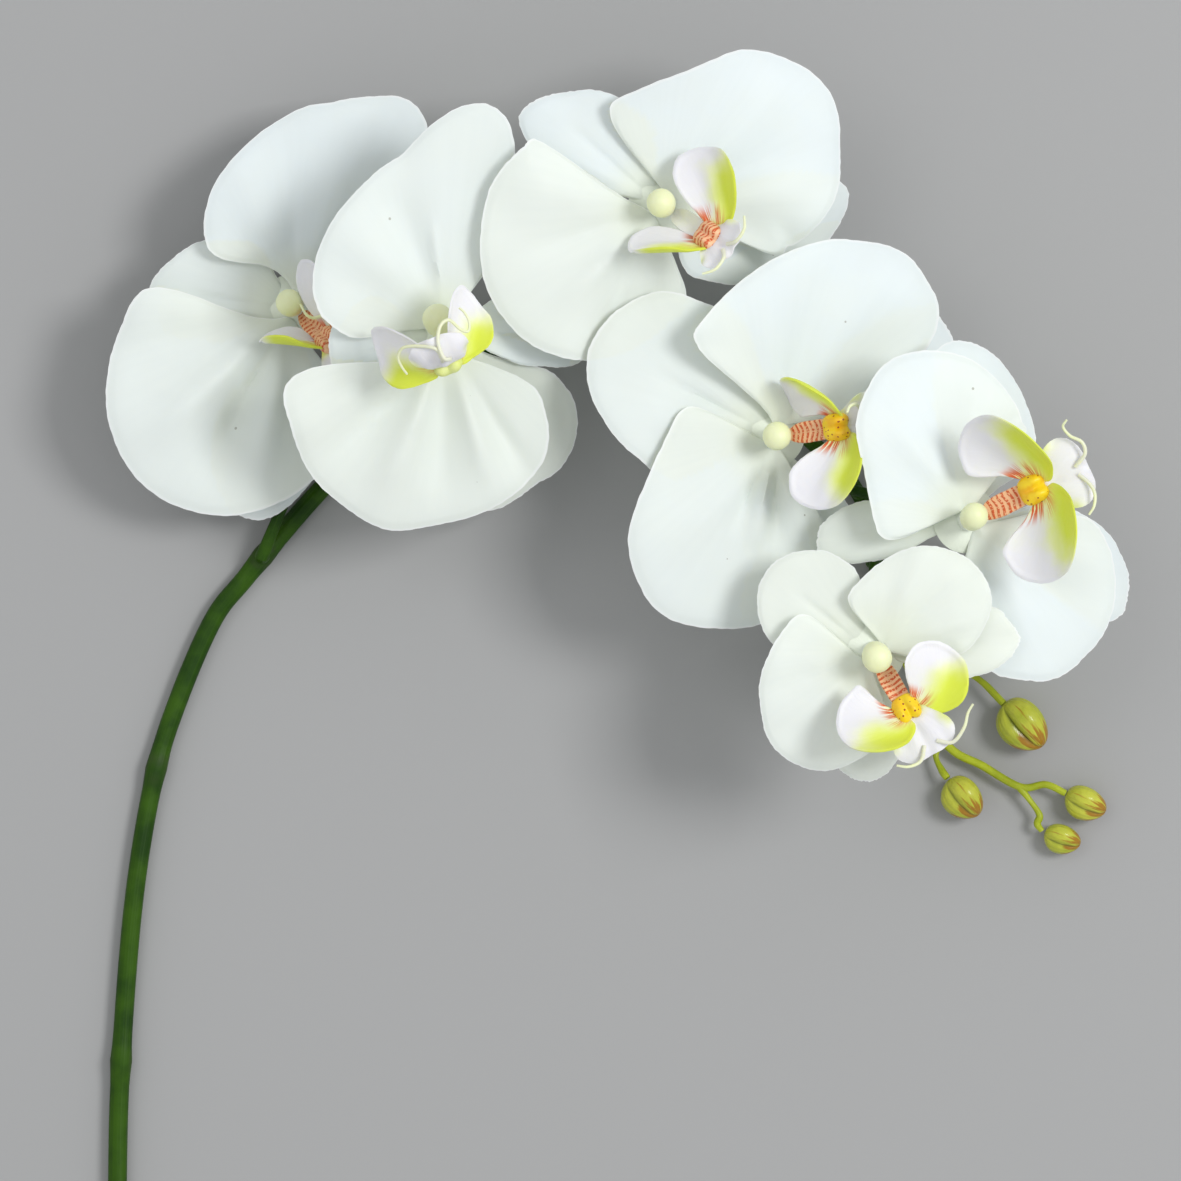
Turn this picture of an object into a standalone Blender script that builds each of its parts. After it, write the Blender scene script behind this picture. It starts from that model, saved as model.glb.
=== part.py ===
"""A cut moth orchid stem that lies on its back on a flat surface.

The stem is flat on z = 0 and arches to the right. Six blooms stand on flower stalks and
look up at +Z, and each overlaps the one before it. Four buds sit on the pale tip.
The tables are in millimetres and degrees. X runs right and Y runs away from the cut end.
"""

import math
from collections import namedtuple

import bmesh
import bpy
import numpy as np
from mathutils import Matrix, Vector

MM = 0.001

# The middle of the flower group, seen from above, in the part's own frame
GROUP_X = -6.0 * MM
GROUP_Y = 123.2 * MM

# Stem
STEM_RADIUS = 2.7
STEM_TOP_RADIUS = 2.1
STEM_SIDES = 8
NODE_SWELL = 1.16
NODE_HALF_LENGTH = 7.0

# Flower stalks, each ending in a thick receptacle that carries the bloom
STALK_RADIUS = 1.5
STALK_FOOT_RADIUS = 2.1
RECEPTACLE_RADIUS = 3.0
RECEPTACLE_TOP = 2.4
RECEPTACLE_BOTTOM = -3.0
RECEPTACLE = [(-6.0, 1.7), (-3.0, 2.6), (-1.0, 3.0), (2.4, 3.0)]
SEAT_GAP = 0.3

# Sepals and petals
TEPAL_THICKNESS = 0.8
TEPAL_CELLS = 7
# How softly an outline stops at the end of its claw, as a share of half the length
CLAW_END = 0.03
# How far to the side the skew takes hold, so that the claw's own end stays square
SKEW_START = 3.0
# Corners are rounded by an average over these directions, in degrees, with these shares
ROUNDING = [(-9, 0.12), (-4, 0.23), (0, 0.3), (4, 0.23), (9, 0.12)]

# Column: a ball joint on the receptacle, then the stalk and the rounded cap
COLUMN_BALL = 1.9
COLUMN_PATH = [
    (0.0, -1.8, 0.5),
    (0.0, -1.1, 1.5),
    (0.0, 0.0, 1.9),
    (0.3, 2.0, 2.3),
    (1.1, 4.0, 3.3),
    (2.2, 6.2, 4.0),
    (3.4, 8.6, 3.7),
    (4.2, 10.2, 2.4),
    (4.6, 11.0, 0.8),
]

# Lip
LIP_THICKNESS = 0.9
# length, width, rise, roll, curl, cup, tip_cup, heel_skew and skew, as in the blooms' table
TONGUE_FORM = (17, 6.4, 8, 0, 0, 40, 30, 0, 0)
CALLUS_CENTRE = (19.5, 0.0, 3.0)
CALLUS_RADII = (4.2, 4.0, 2.7)
TENDRIL_RADIUS = 0.6

# Pale tip and buds
TIP_RADIUS = 1.35
BUD_STALK_RADIUS = 0.95
BUD_GROOVE = 0.13
BUD_SEGMENTS = 18
BUD_RINGS = 9

PETAL_WHITE = (0.86, 0.88, 0.86, 1)
LIP_WHITE = (0.86, 0.87, 0.62, 1)
COLUMN_CREAM = (0.80, 0.85, 0.50, 1)
STEM_GREEN = (0.06, 0.16, 0.02, 1)
STALK_GREEN = (0.12, 0.22, 0.03, 1)
TIP_GREEN = (0.38, 0.42, 0.05, 1)
BUD_GREEN = (0.30, 0.33, 0.07, 1)

# claw and tip are the shares of the full width at both ends, and heel and toe say where
# the full width starts and stops, on a scale from -1 at the base to 1 at the tip.
Shape = namedtuple("Shape", "claw heel toe tip fullness")
PETAL = Shape(0.16, -0.60, 0.3, 1.0, 2.15)
POINTED_PETAL = Shape(0.16, -0.65, 0.1, 0.85, 1.85)
BROAD_PETAL = Shape(0.16, -0.70, -0.3, 0.72, 2.15)
SEPAL = Shape(0.30, -0.05, 0.3, 0.92, 2.15)
TONGUE = Shape(0.80, -0.40, 0.3, 1.0, 3.00)
SIDE_LOBE = Shape(0.55, 0.0, 0.4, 0.92, 2.20)
MIDDLE_LOBE = Shape(0.50, 0.20, 0.3, 0.72, 3.20)
# An outline's reach every 30 degrees, from the tip round by the left side
LEFT_LOBE_EDGE = (1.0, 1.18, 1.06, 0.88, 0.84, 0.93, 1.0, 1.14, 1.2, 1.08, 0.98, 0.9)
RIGHT_LOBE_EDGE = (1.0, 0.9, 0.98, 1.08, 1.2, 1.14, 1.0, 0.93, 0.84, 0.88, 1.06, 1.18)

# azimuth is the way that the piece points, seen from above. rise and roll tip it out of the
# bloom's plane, curl bends it along its length, and cup and tip_cup bend it across.
# heel_skew and skew push its left side forward. level is its height on the receptacle, and
# edge is its outline's reach, as for the lobes.
Tepal = namedtuple(
    "Tepal",
    "name shape azimuth length width rise roll curl cup tip_cup heel_skew skew level edge",
    defaults=[()],
)
# lean is how far the bloom's face tips from +Z, towards lean_azimuth, and lip_lean is the
# same for the lip and the column. side_lobes has the azimuth from the lip's own way, length,
# width, rise and roll of the left and the right lobe, and middle_lobe the length, width and
# rise. stalk is the way that the flower stalk takes from the stem.
Bloom = namedtuple(
    "Bloom",
    "name x y z lean lean_azimuth lip_azimuth lip_lean lip_lean_azimuth size side_lobes "
    "middle_lobe tendrils stalk tepals",
)

BLOOMS = [
    Bloom(
        "bloom_1", -81.6, 77.6, 19, 12, -20, -43, 34, 138, 0.91,
        [(146, 25, 17, 42, -38), (149, 23.8, 17.5, 11, -51)], (17.5, 20, 4),
        [
            [
                (18.0, 2.5, 3.4), (14.5, 3.8, 5.6), (13.3, 1.5, 7.5), (12.0, 0.9, 9.6),
                (9.4, 2.0, 11.6),
            ],
            [(31.5, -1.0, 0.5), (35.0, -4.0, 2.0), (35.0, -8.0, 3.5), (33.0, -11.0, 4.5)],
        ],
        [(-90.5, 9.5, 6.0), (-90.5, 9.5, 7.6), (-84.2, 24.6, 9.6), (-79.0, 35.0, 9.8)],
        [
            Tepal("dorsal_sepal", SEPAL, 173, 36.5, 36.5, 0, 0, -10, 10, 5, 0.3, 0.15, -0.8,
                  (1.02, 0.96, 0.8, 0.69, 1.03, 1.31, 1, 1.3, 1.24, 0.9, 0.93, 0.94)),
            Tepal("upper_petal", PETAL, 84, 55, 55, 8, 0, -14, 10, 0, -0.15, -0.55, 1.5,
                  (0.94, 1, 1.08, 0.99, 0.96, 0.74, 1, 1.12, 0.86, 1.16, 1.09, 0.93)),
            Tepal("lower_petal", PETAL, 231, 59.5, 69.5, 8, 0, -14, 10, 0, -0.15, 0, 0.3,
                  (1.07, 1.01, 0.95, 1, 1.04, 1.3, 1, 0.91, 1.13, 0.98, 0.93, 0.99)),
            Tepal("upper_sepal", SEPAL, 20, 46, 32, 0, 0, -10, 10, 5, 0, 0, -2.0),
            Tepal("lower_sepal", SEPAL, 259, 57, 34, 4, 0, -10, 10, 5, 0, 0, -2.0),
        ],
    ),
    Bloom(
        "bloom_2", -39.0, 69.0, 48, 15, -60, -74, 64, 114, 1.0,
        [(150, 20, 15, 34, 72), (140, 24, 16, 14, 66)], (17, 18, 10),
        [
            [
                (29.5, 2.2, 2.4), (31.0, 2.4, 4.5), (30.5, 1.3, 8.3), (28.5, 1.3, 12.3),
                (26.5, 3.3, 15.5), (25.0, 5.9, 15.6), (24.5, 7.5, 11.8), (24.0, 9.2, 10.2),
                (23.0, 10.3, 12.1), (22.0, 10.1, 14.5), (21.0, 9.1, 16.1),
            ],
            [
                (29.0, 1.0, 2.4), (29.5, 1.6, 6.0), (29.0, 0.1, 10.9), (27.0, -4.2, 12.6),
                (25.0, -8.4, 12.8), (24.0, -10.8, 10.4), (23.5, -11.0, 7.1), (23.0, -10.6, 4.4),
            ],
        ],
        [(-62, 42, 5.3), (-62, 42, 7.0), (-61, 44, 14)],
        [
            Tepal("dorsal_sepal", SEPAL, 192, 29, 31, 2, 0, -10, 10, 5, 0, 0, -0.8),
            Tepal("upper_petal", POINTED_PETAL, 106, 54.5, 57.5, 1, 0, -10, 10, 0, -0.25, -0.45, 1.5,
                  (0.73, 0.88, 1.16, 1.11, 1.09, 1.29, 1, 1.16, 0.87, 1.1, 1.2, 0.92)),
            Tepal("lower_petal", BROAD_PETAL, 254, 54.5, 69.5, 8, 0, -14, 10, 0, -0.2, -0.05, 0.3,
                  (0.95, 0.91, 1, 1.05, 1, 1.07, 1, 0.89, 1.2, 1.05, 1.04, 0.94)),
            Tepal("upper_sepal", SEPAL, 0, 39.5, 22, -3, 0, -10, 10, 5, -0.45, -0.3, -0.8,
                  (0.96, 1.01, 1.09, 0.98, 1.17, 1.12, 1, 1.06, 1.05, 0.87, 1.04, 1.03)),
            Tepal("lower_sepal", SEPAL, -58, 55, 39.5, -10, 0, -10, 10, 5, 0.1, -0.2, -2,
                  (0.88, 1, 1.11, 1, 0.98, 1.05, 1, 1.02, 0.93, 0.91, 1.13, 0.94)),
        ],
    ),
    Bloom(
        "bloom_3", 19.2, 103.6, 46.5, 15, -30, -36, 33, 145, 0.95,
        [(142, 27, 20, 18, 0), (148, 25, 16, 20, -35)], (13, 16, 28),
        [
            [(27.5, 1.0, 4.8), (30.5, 3.0, 6.6), (31.0, 7.0, 7.6), (29.0, 10.0, 8.4)],
            [(27.5, -1.0, 4.8), (30.5, -3.0, 6.6), (31.0, -7.0, 7.6), (29.0, -10.0, 8.4)],
        ],
        [(4, 73, 4.9), (4, 73, 6.6), (5, 74, 14)],
        [
            Tepal("dorsal_sepal", SEPAL, 139, 41.5, 29, -4, 0, -10, 10, 5, 0.2, 0.1, -0.8,
                  (0.99, 1.13, 0.93, 0.74, 0.98, 1.07, 1, 1.18, 1.19, 1.09, 1, 0.91)),
            Tepal("upper_petal", BROAD_PETAL, 19, 48, 69, 8, 0, -14, 10, 0, -0.65, -0.1, 1.5,
                  (1.05, 1.32, 1.32, 1, 1.05, 1.3, 1, 1.3, 0.72, 0.65, 0.74, 0.92)),
            Tepal("lower_petal", PETAL, 204, 49, 63, 8, 0, -14, 10, 0, -0.4, 0.05, 0.3,
                  (1.06, 1.01, 0.96, 1.02, 1.01, 1.26, 1, 0.97, 1.09, 0.99, 0.98, 0.99)),
            Tepal("upper_sepal", SEPAL, -15, 48.5, 37, -8, 0, -10, 10, 5, 0.55, 0.65, -0.8,
                  (1.03, 1.04, 1.17, 1.05, 1.11, 1.13, 1, 1.13, 1.09, 0.88, 0.93, 0.94)),
            Tepal("lower_sepal", SEPAL, -115, 30, 26, -8, 0, -10, 10, 5, 0, 0, -2.0),
        ],
    ),
    Bloom(
        "bloom_4", 49.8, 42.0, 42, 15, -20, 8, 27, -173, 0.95,
        [(140, 22, 20, 22, -62), (117, 24, 22, 26, 4)], (15, 18, -10),
        [
            [(26.5, 2.2, -0.4), (27.2, 5.3, 3.6), (26.0, 5.2, 6.2), (25.5, 3.4, 7.8)],
            [(28.0, -1.0, -0.6), (30.0, -3.5, 0.0), (29.5, -6.0, 0.2), (27.5, -8.0, 0.4)],
        ],
        [(42, 58, 4.7), (42, 58, 6.4), (42.5, 57, 14)],
        [
            Tepal("dorsal_sepal", SEPAL, 153, 52, 49.5, 0, 0, -10, 10, 5, -0.05, -0.15, -0.8,
                  (1.06, 1.05, 0.96, 0.97, 1.29, 1.17, 1, 1.28, 1.24, 0.94, 0.98, 1)),
            Tepal("upper_petal", PETAL, 70, 53.5, 60, 8, 8, -14, 10, 0, 0.05, -0.4, 1.5,
                  (1.02, 1.02, 1.06, 1.16, 1.15, 1.15, 1, 1.05, 0.78, 1.13, 1.01, 1.02)),
            Tepal("lower_petal", BROAD_PETAL, 253, 49.5, 70, 8, 0, -14, 10, 0, 0.5, 0, 0.3,
                  (1.1, 1, 0.81, 0.67, 0.72, 1.26, 1, 1.24, 0.93, 0.94, 1.23, 1.28)),
            Tepal("upper_sepal", SEPAL, 30, 60, 31.5, -8, 0, -10, 10, 5, 0.15, -0.05, -2,
                  (0.97, 0.99, 1.02, 0.97, 1.11, 1.1, 1, 1.08, 1.1, 0.87, 1.08, 1.04)),
            Tepal("lower_sepal", SEPAL, -75, 46, 34, -8, 0, -10, 10, 5, 0, 0, -2.0),
        ],
    ),
    Bloom(
        "bloom_5", 101.1, 19.0, 56, 12, 0, 25, 17, 188, 1.0,
        [(115, 25, 22, 48, -26), (114, 25, 23, 34, -25)], (17.5, 20, 4),
        [
            [
                (31.8, 0.8, 0.5), (35.8, 2.7, 1.5), (36.6, 5.8, 2.5), (34.6, 8.6, 3.5),
                (34.1, 11.5, 4.5), (35.9, 12.7, 5.0),
            ],
            [
                (31.8, -1.5, 0.5), (33.6, -5.1, 1.5), (33.9, -8.2, 2.5), (32.6, -11.0, 3.5),
                (30.5, -12.6, 4.2),
            ],
        ],
        [(74, 27, 4.4), (74, 27, 6.0), (74.5, 27, 14)],
        [
            Tepal("dorsal_sepal", SEPAL, 187, 39.5, 18, -15, 0, -10, 10, 5, 0.55, 0.25, -0.8,
                  (0.93, 1, 1.01, 0.9, 1.07, 1.19, 1, 1.22, 1.08, 0.91, 1.01, 0.94)),
            Tepal("upper_petal", BROAD_PETAL, 102, 40, 58, 8, 0, -14, 10, 0, -0.5, 0, 1.5,
                  (1.18, 1.31, 1.21, 0.94, 1.01, 1.29, 1, 1.25, 0.78, 0.7, 0.81, 1.02)),
            Tepal("lower_petal", PETAL, -45, 48.5, 46, 2, 0, -14, 10, 0, 0.1, -0.15, 0.3,
                  (0.98, 1.01, 1.05, 1.07, 0.96, 1.17, 1, 1.13, 0.86, 1.07, 0.96, 0.96)),
            Tepal("upper_sepal", SEPAL, 81, 46.5, 33, -8, 0, -10, 10, 5, 0.3, 0.2, -2,
                  (0.99, 1.05, 1.08, 0.92, 0.96, 1.08, 1, 1.13, 1.06, 1.06, 0.94, 0.93)),
            Tepal("lower_sepal", SEPAL, -20, 55, 27, -12, 0, -10, 10, 5, -0.25, -0.35, -2,
                  (0.95, 0.95, 1.06, 1.01, 1.1, 1.01, 1, 1.1, 0.99, 0.87, 1.08, 1.03)),
        ],
    ),
    Bloom(
        "bloom_6", 75.5, -16.6, 60, 5, -40, -60, 11, 127, 0.9,
        [(136, 22, 21, 12, 26), (110, 21.5, 23, 42, -22)], (17.5, 20, 4),
        [
            [
                (32.0, 3.0, 0.5), (34.9, 6.9, 1.4), (33.1, 11.8, 3.0), (30.0, 15.0, 4.0),
                (28.6, 17.6, 5.0),
            ],
            [(31.5, -1.0, 0.5), (35.0, -4.0, 2.0), (35.0, -8.0, 3.5), (33.0, -11.0, 4.5)],
        ],
        [(78, 8, 4.3), (78, 8, 6.0), (78, 7, 14)],
        [
            Tepal("dorsal_sepal", SEPAL, 142, 32.5, 31, -4, 0, -10, 10, 5, 0, 0, -0.8,
                  (1.04, 1, 0.98, 0.97, 1.1, 1.19, 1, 1.18, 1.13, 0.97, 1, 1.01)),
            Tepal("upper_petal", BROAD_PETAL, 34, 32.5, 40.5, 8, 0, -14, 10, 0, -0.45, 0.05, 1.5,
                  (1.05, 1.07, 1.07, 0.99, 0.99, 1.22, 1, 1.18, 0.73, 0.69, 0.84, 1.01)),
            Tepal("lower_petal", BROAD_PETAL, 235, 31, 47, 8, 0, -14, 10, 0, 0.35, -0.05, 0.3,
                  (1.17, 1.05, 0.79, 0.69, 0.73, 1.18, 1, 1.24, 1.1, 1.01, 1.07, 1.18)),
            Tepal("upper_sepal", SEPAL, 5, 38, 19.5, 4, 0, -10, 10, 5, 0.45, 0.1, -0.8,
                  (0.98, 0.95, 1.12, 0.99, 0.95, 1.02, 1, 1.09, 0.97, 0.95, 0.99, 0.95)),
            Tepal("lower_sepal", SEPAL, -90, 34, 20.5, -8, 0, -10, 10, 5, -0.2, -0.1, -2,
                  (0.98, 0.99, 0.98, 0.99, 1.12, 1.15, 1, 1.13, 1.08, 0.91, 1.07, 1)),
        ],
    ),
]

# The stem's centreline from the cut end up, about the group's middle
STEM_ROUTE = [
    (-128.0, -392.0),
    (-129.0, -340.0),
    (-130.2, -280.0),
    (-130.8, -220.0),
    (-130.8, -163.0),
    (-129.8, -130.0),
    (-126.3, -86.0),
    (-120.7, -52.0),
    (-113.9, -30.0),
    (-104.3, -8.0),
    (-95.8, 3.0),
    (-86.8, 14.0),
    (-74.5, 28.0),
    (-52.7, 51.0),
    (-25.0, 68.0),
    (5.4, 73.0),
    (35.8, 62.0),
    (57.9, 44.0),
    (74.5, 26.0),
    (80.6, -2.0),
]
NODES = [(-129.8, -130.0), (-120.0, -49.0), (-90.5, 9.5)]
TIP_ROUTE = [
    (80.8, -2.9, 2.2),
    (87.0, -19.0, 2.4),
    (97.6, -41.5, 3.4),
    (108.6, -48.6, 4.2),
    (118.8, -54.3, 4.8),
    (125.7, -53.6, 5.0),
    (131.2, -56.0, 5.2),
]
BUD_STALK_ROUTES = [
    [(83.0, -10.0, 2.4), (92.5, -17.0, 3.4), (106.3, -23.9, 5.0), (114.0, -31.2, 6.2)],
    [(97.0, -41.0, 3.4), (95.4, -45.6, 4.0), (97.0, -49.6, 5.0), (98.5, -51.8, 5.8)],
    [
        (118.0, -53.8, 4.8),
        (121.4, -58.0, 4.8),
        (124.0, -62.0, 4.8),
        (123.4, -64.4, 4.7),
        (124.7, -66.4, 4.6),
    ],
]
# Each bud's middle, length, width, and the way that it points
Bud = namedtuple("Bud", "name x y z length width azimuth")
BUDS = [
    Bud("bud_1", 119.6, -36.9, 6.8, 16.0, 13.4, -50),
    Bud("bud_2", 103.0, -57.1, 6.0, 12.8, 11.2, -50),
    Bud("bud_3", 136.8, -58.5, 5.4, 12.0, 9.6, -25),
    Bud("bud_4", 130.4, -68.4, 4.6, 10.4, 8.4, -18),
]


def clear_scene():
    for item in list(bpy.data.objects):
        bpy.data.objects.remove(item)


def new_collection(name):
    made = bpy.data.collections.new(name)
    bpy.context.scene.collection.children.link(made)
    return made


def material(name, colour, roughness):
    made = bpy.data.materials.new(name)
    made.use_nodes = True
    shader = made.node_tree.nodes["Principled BSDF"]
    shader.inputs["Base Color"].default_value = colour
    shader.inputs["Roughness"].default_value = roughness
    shader.inputs["Metallic"].default_value = 0.0
    return made


def ease(low, high, value):
    share = np.clip((value - low) / (high - low), 0, 1)
    return share * share * (3 - 2 * share)


def disc_points(flat):
    """Moves points of the square from -1 to 1 onto the disc of radius 1."""
    x, y = flat[:, 0], flat[:, 1]
    return x * np.sqrt(1 - y * y / 2), y * np.sqrt(1 - x * x / 2)


def edge_at(turn, edge):
    """The reach of the outline in each direction, on a smooth line through its values."""
    place = turn % (2 * math.pi) / (2 * math.pi) * len(edge)
    start = np.floor(place).astype(int)
    t = place - start
    a, b, c, d = (np.take(edge, start + k, mode="wrap") for k in (-1, 0, 1, 2))
    return b + t * (c - a + t * (2 * a - 5 * b + 4 * c - d + t * (3 * b - a - 3 * c + d))) / 2


def blade_plan(turn, rim, shape, length, width, heel_skew, skew, edge):
    """How far along a blade, and how far to its side, each place of the disc comes."""
    power = shape.fullness
    swell = (np.abs(np.cos(turn)) ** power + np.abs(np.sin(turn)) ** power) ** (-1 / power)
    if edge:
        swell = swell * edge_at(turn, edge)
    across, along = rim * swell * np.sin(turn), rim * swell * np.cos(turn)
    along = CLAW_END * (np.logaddexp(0, (along + 1) / CLAW_END) - math.log(2)) - 1
    narrow = shape.claw + (1 - shape.claw) * ease(-1, shape.heel, along)
    taper = 1 - (1 - shape.tip) * ease(shape.toe, 1, along)
    side = across * narrow * taper * width / 2
    push = heel_skew + (skew - heel_skew) * ease(-0.85, 0.35, along)
    pushed = push * side**3 / (side**2 + SKEW_START**2)
    return (1 + along) / 2 + pushed / length, side


def blade_points(
    flat, shape, length, width, rise, roll, curl, cup, tip_cup, heel_skew, skew, edge=()
):
    """Turns points of a flat square into a blade that leaves the origin along +X."""
    across, along = disc_points(flat)
    turn, rim = np.arctan2(across, along), np.hypot(across, along)
    share = side = 0
    for angle, weight in ROUNDING:
        near = turn + math.radians(angle)
        plan = blade_plan(near, rim, shape, length, width, heel_skew, skew, edge)
        share, side = share + weight * plan[0], side + weight * plan[1]
    half = width / 2
    start = math.radians(rise)
    bend = math.radians(curl) if abs(curl) > 0.01 else 1e-4
    angle = start + bend * share
    x = length / bend * (np.sin(angle) - math.sin(start))
    z = length / bend * (math.cos(start) - np.cos(angle))
    arc = np.radians(cup + (tip_cup - cup) * np.clip(share, 0, 1))
    radius = half / np.where(np.abs(arc) < 1e-3, 1e-3, arc)
    height = radius * (1 - np.cos(side / radius))
    side = radius * np.sin(side / radius)
    tilt = math.radians(roll)
    y = side * math.cos(tilt) - height * math.sin(tilt)
    height = side * math.sin(tilt) + height * math.cos(tilt)
    return np.column_stack([x - height * np.sin(angle), y, z + height * np.cos(angle)])


def blade(name, cells, thickness, seat, *form):
    """A thin blade. It is cut into triangles before Solidify, so both faces match."""
    bpy.ops.mesh.primitive_grid_add(x_subdivisions=cells, y_subdivisions=cells, size=2)
    made = bpy.context.object
    made.name = name
    shape = bmesh.new()
    shape.from_mesh(made.data)
    flat = np.array([vertex.co for vertex in shape.verts])
    for vertex, x, y in zip(shape.verts, *disc_points(flat)):
        vertex.co = (x, y, 0)
    bmesh.ops.triangulate(shape, faces=shape.faces, quad_method="SHORT_EDGE")
    for vertex, place in zip(shape.verts, blade_points(flat, *form)):
        vertex.co = seat @ Vector(place) * MM
    bmesh.ops.reverse_faces(shape, faces=shape.faces)
    shape.to_mesh(made.data)
    shape.free()
    wall = made.modifiers.new("thickness", "SOLIDIFY")
    wall.thickness = thickness * MM
    wall.offset = 0
    return made


def smooth_route(points, steps):
    """Points on a smooth line through the route's own points, in as many steps between two."""
    points = [Vector(p) for p in points]
    ends = [2 * points[0] - points[1], *points, 2 * points[-1] - points[-2]]
    made = []
    for a, b, c, d in zip(ends, ends[1:], ends[2:], ends[3:]):
        for step in range(steps):
            t = step / steps
            line = 2 * b + (c - a) * t
            line += (2 * a - 5 * b + 4 * c - d) * t * t + (3 * b - a - 3 * c + d) * t**3
            made.append(line / 2)
    return made + [points[-1]]


def tube(name, route, radii, sides, twist="MINIMUM", tilt=0.0):
    """A tube along the route. Its radius changes, and its ends are closed."""
    curve = bpy.data.curves.new(name, "CURVE")
    curve.dimensions = "3D"
    curve.twist_mode = twist
    curve.bevel_depth = 1.0
    curve.bevel_resolution = sides // 2 - 2
    curve.use_fill_caps = True
    line = curve.splines.new("POLY")
    line.points.add(len(route) - 1)
    for point, place, radius in zip(line.points, route, radii):
        point.co = (*[value * MM for value in place], 1)
        point.radius = radius * MM
        point.tilt = math.radians(tilt)
    made = bpy.data.objects.new(name, curve)
    bpy.context.scene.collection.objects.link(made)
    return made


def as_mesh(item):
    """Makes a closed mesh of the object as its modifiers leave it."""
    bpy.context.view_layer.update()
    graph = bpy.context.evaluated_depsgraph_get()
    mesh = bpy.data.meshes.new_from_object(item.evaluated_get(graph))
    shape = bmesh.new()
    shape.from_mesh(mesh)
    bmesh.ops.remove_doubles(shape, verts=shape.verts, dist=0.001 * MM)
    shape.to_mesh(mesh)
    shape.free()
    name = item.name
    bpy.data.objects.remove(item)
    made = bpy.data.objects.new(name, mesh)
    bpy.context.scene.collection.objects.link(made)
    return made


def join(base, others):
    """Fuses the others into the base with Booleans, and returns the one solid."""
    base = as_mesh(base)
    for other in others:
        other = as_mesh(other)
        cut = base.modifiers.new("join", "BOOLEAN")
        cut.operation = "UNION"
        cut.solver = "EXACT"
        cut.object = other
        base = as_mesh(base)
        bpy.data.objects.remove(other)
    return base


def lean_matrix(angle, azimuth):
    turn = Matrix.Rotation(math.radians(azimuth), 4, "Z")
    return turn @ Matrix.Rotation(math.radians(angle), 4, "Y") @ turn.inverted()


def turn_matrix(azimuth):
    return Matrix.Rotation(math.radians(azimuth), 4, "Z")


def bloom_matrix(bloom):
    """The frame of the sepals and petals, with its origin inside the receptacle."""
    place = Matrix.Translation((bloom.x, bloom.y, bloom.z))
    return place @ lean_matrix(bloom.lean, bloom.lean_azimuth)


def lip_matrix(bloom):
    """The frame of the lip and the column. Its origin is the column's ball joint."""
    height = RECEPTACLE_TOP + SEAT_GAP + COLUMN_BALL
    ball = bloom_matrix(bloom) @ Vector((0, 0, height))
    lean = lean_matrix(bloom.lip_lean, bloom.lip_lean_azimuth)
    size = Matrix.Scale(bloom.size, 4)
    return Matrix.Translation(ball) @ lean @ turn_matrix(bloom.lip_azimuth) @ size


def make_tepal(bloom, tepal):
    seat = Matrix.Translation((RECEPTACLE_RADIUS + SEAT_GAP, 0, tepal.level))
    seat = bloom_matrix(bloom) @ turn_matrix(tepal.azimuth) @ seat
    name = f"{bloom.name}_{tepal.name}"
    form = (tepal.shape, *tepal[3:12], tepal.edge)
    return blade(name, TEPAL_CELLS, TEPAL_THICKNESS, seat, *form)


def lobe(bloom, name, cells, x, y, z, turn, *form):
    seat = lip_matrix(bloom) @ Matrix.Translation((x, y, z)) @ turn_matrix(turn)
    return blade(name, cells, LIP_THICKNESS, seat, *form)


def make_lip(bloom):
    frame = lip_matrix(bloom)
    bpy.ops.mesh.primitive_uv_sphere_add(segments=10, ring_count=6, radius=1)
    callus = bpy.context.object
    callus.name = f"{bloom.name}_lip"
    for vertex in callus.data.vertices:
        place = [c + r * v for c, r, v in zip(CALLUS_CENTRE, CALLUS_RADII, vertex.co)]
        vertex.co = frame @ Vector(place) * MM
    middle = (MIDDLE_LOBE, *bloom.middle_lobe, 0, -22, 25, -20, 0, 0)
    pieces = [
        lobe(bloom, "tongue", 3, 2.6, 0, -0.4, 0, TONGUE, *TONGUE_FORM),
        lobe(bloom, "middle_lobe", 5, 18.0, 0, 1.6, 0, *middle),
    ]
    edges = (LEFT_LOBE_EDGE, RIGHT_LOBE_EDGE)
    for way, (turn, length, width, rise, roll), edge in zip((1, -1), bloom.side_lobes, edges):
        form = (SIDE_LOBE, length, width, rise, way * roll, -16, 30, 15, 0, way * 0.1, edge)
        pieces.append(lobe(bloom, "side_lobe", 5, 20.5, way * 2.0, 1.8, way * turn, *form))
    for points in bloom.tendrils:
        route = [frame @ Vector(point) for point in points]
        radii = [TENDRIL_RADIUS] * (len(route) - 1) + [0.6 * TENDRIL_RADIUS]
        pieces.append(tube("tendril", route, radii, 4))
    return join(callus, pieces)


def make_column(bloom):
    frame = lip_matrix(bloom)
    route = [frame @ Vector((x, 0, z)) for x, z, radius in COLUMN_PATH]
    radii = [radius * bloom.size for x, z, radius in COLUMN_PATH]
    return tube(f"{bloom.name}_column", route, radii, 10)


def make_stalk(bloom):
    """The stalk leaves the stem straight up, then bends smoothly to its bloom."""
    frame = bloom_matrix(bloom)
    neck = frame @ Vector((0, 0, RECEPTACLE_BOTTOM - 8))
    route = [Vector(bloom.stalk[0]), *smooth_route([*bloom.stalk[1:], neck], 3)]
    radii = [STALK_FOOT_RADIUS, 1.8] + [STALK_RADIUS] * (len(route) - 2)
    for height, radius in RECEPTACLE:
        route.append(frame @ Vector((0, 0, height)))
        radii.append(radius)
    return tube(f"{bloom.name}_stalk", route, radii, 8)


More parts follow.
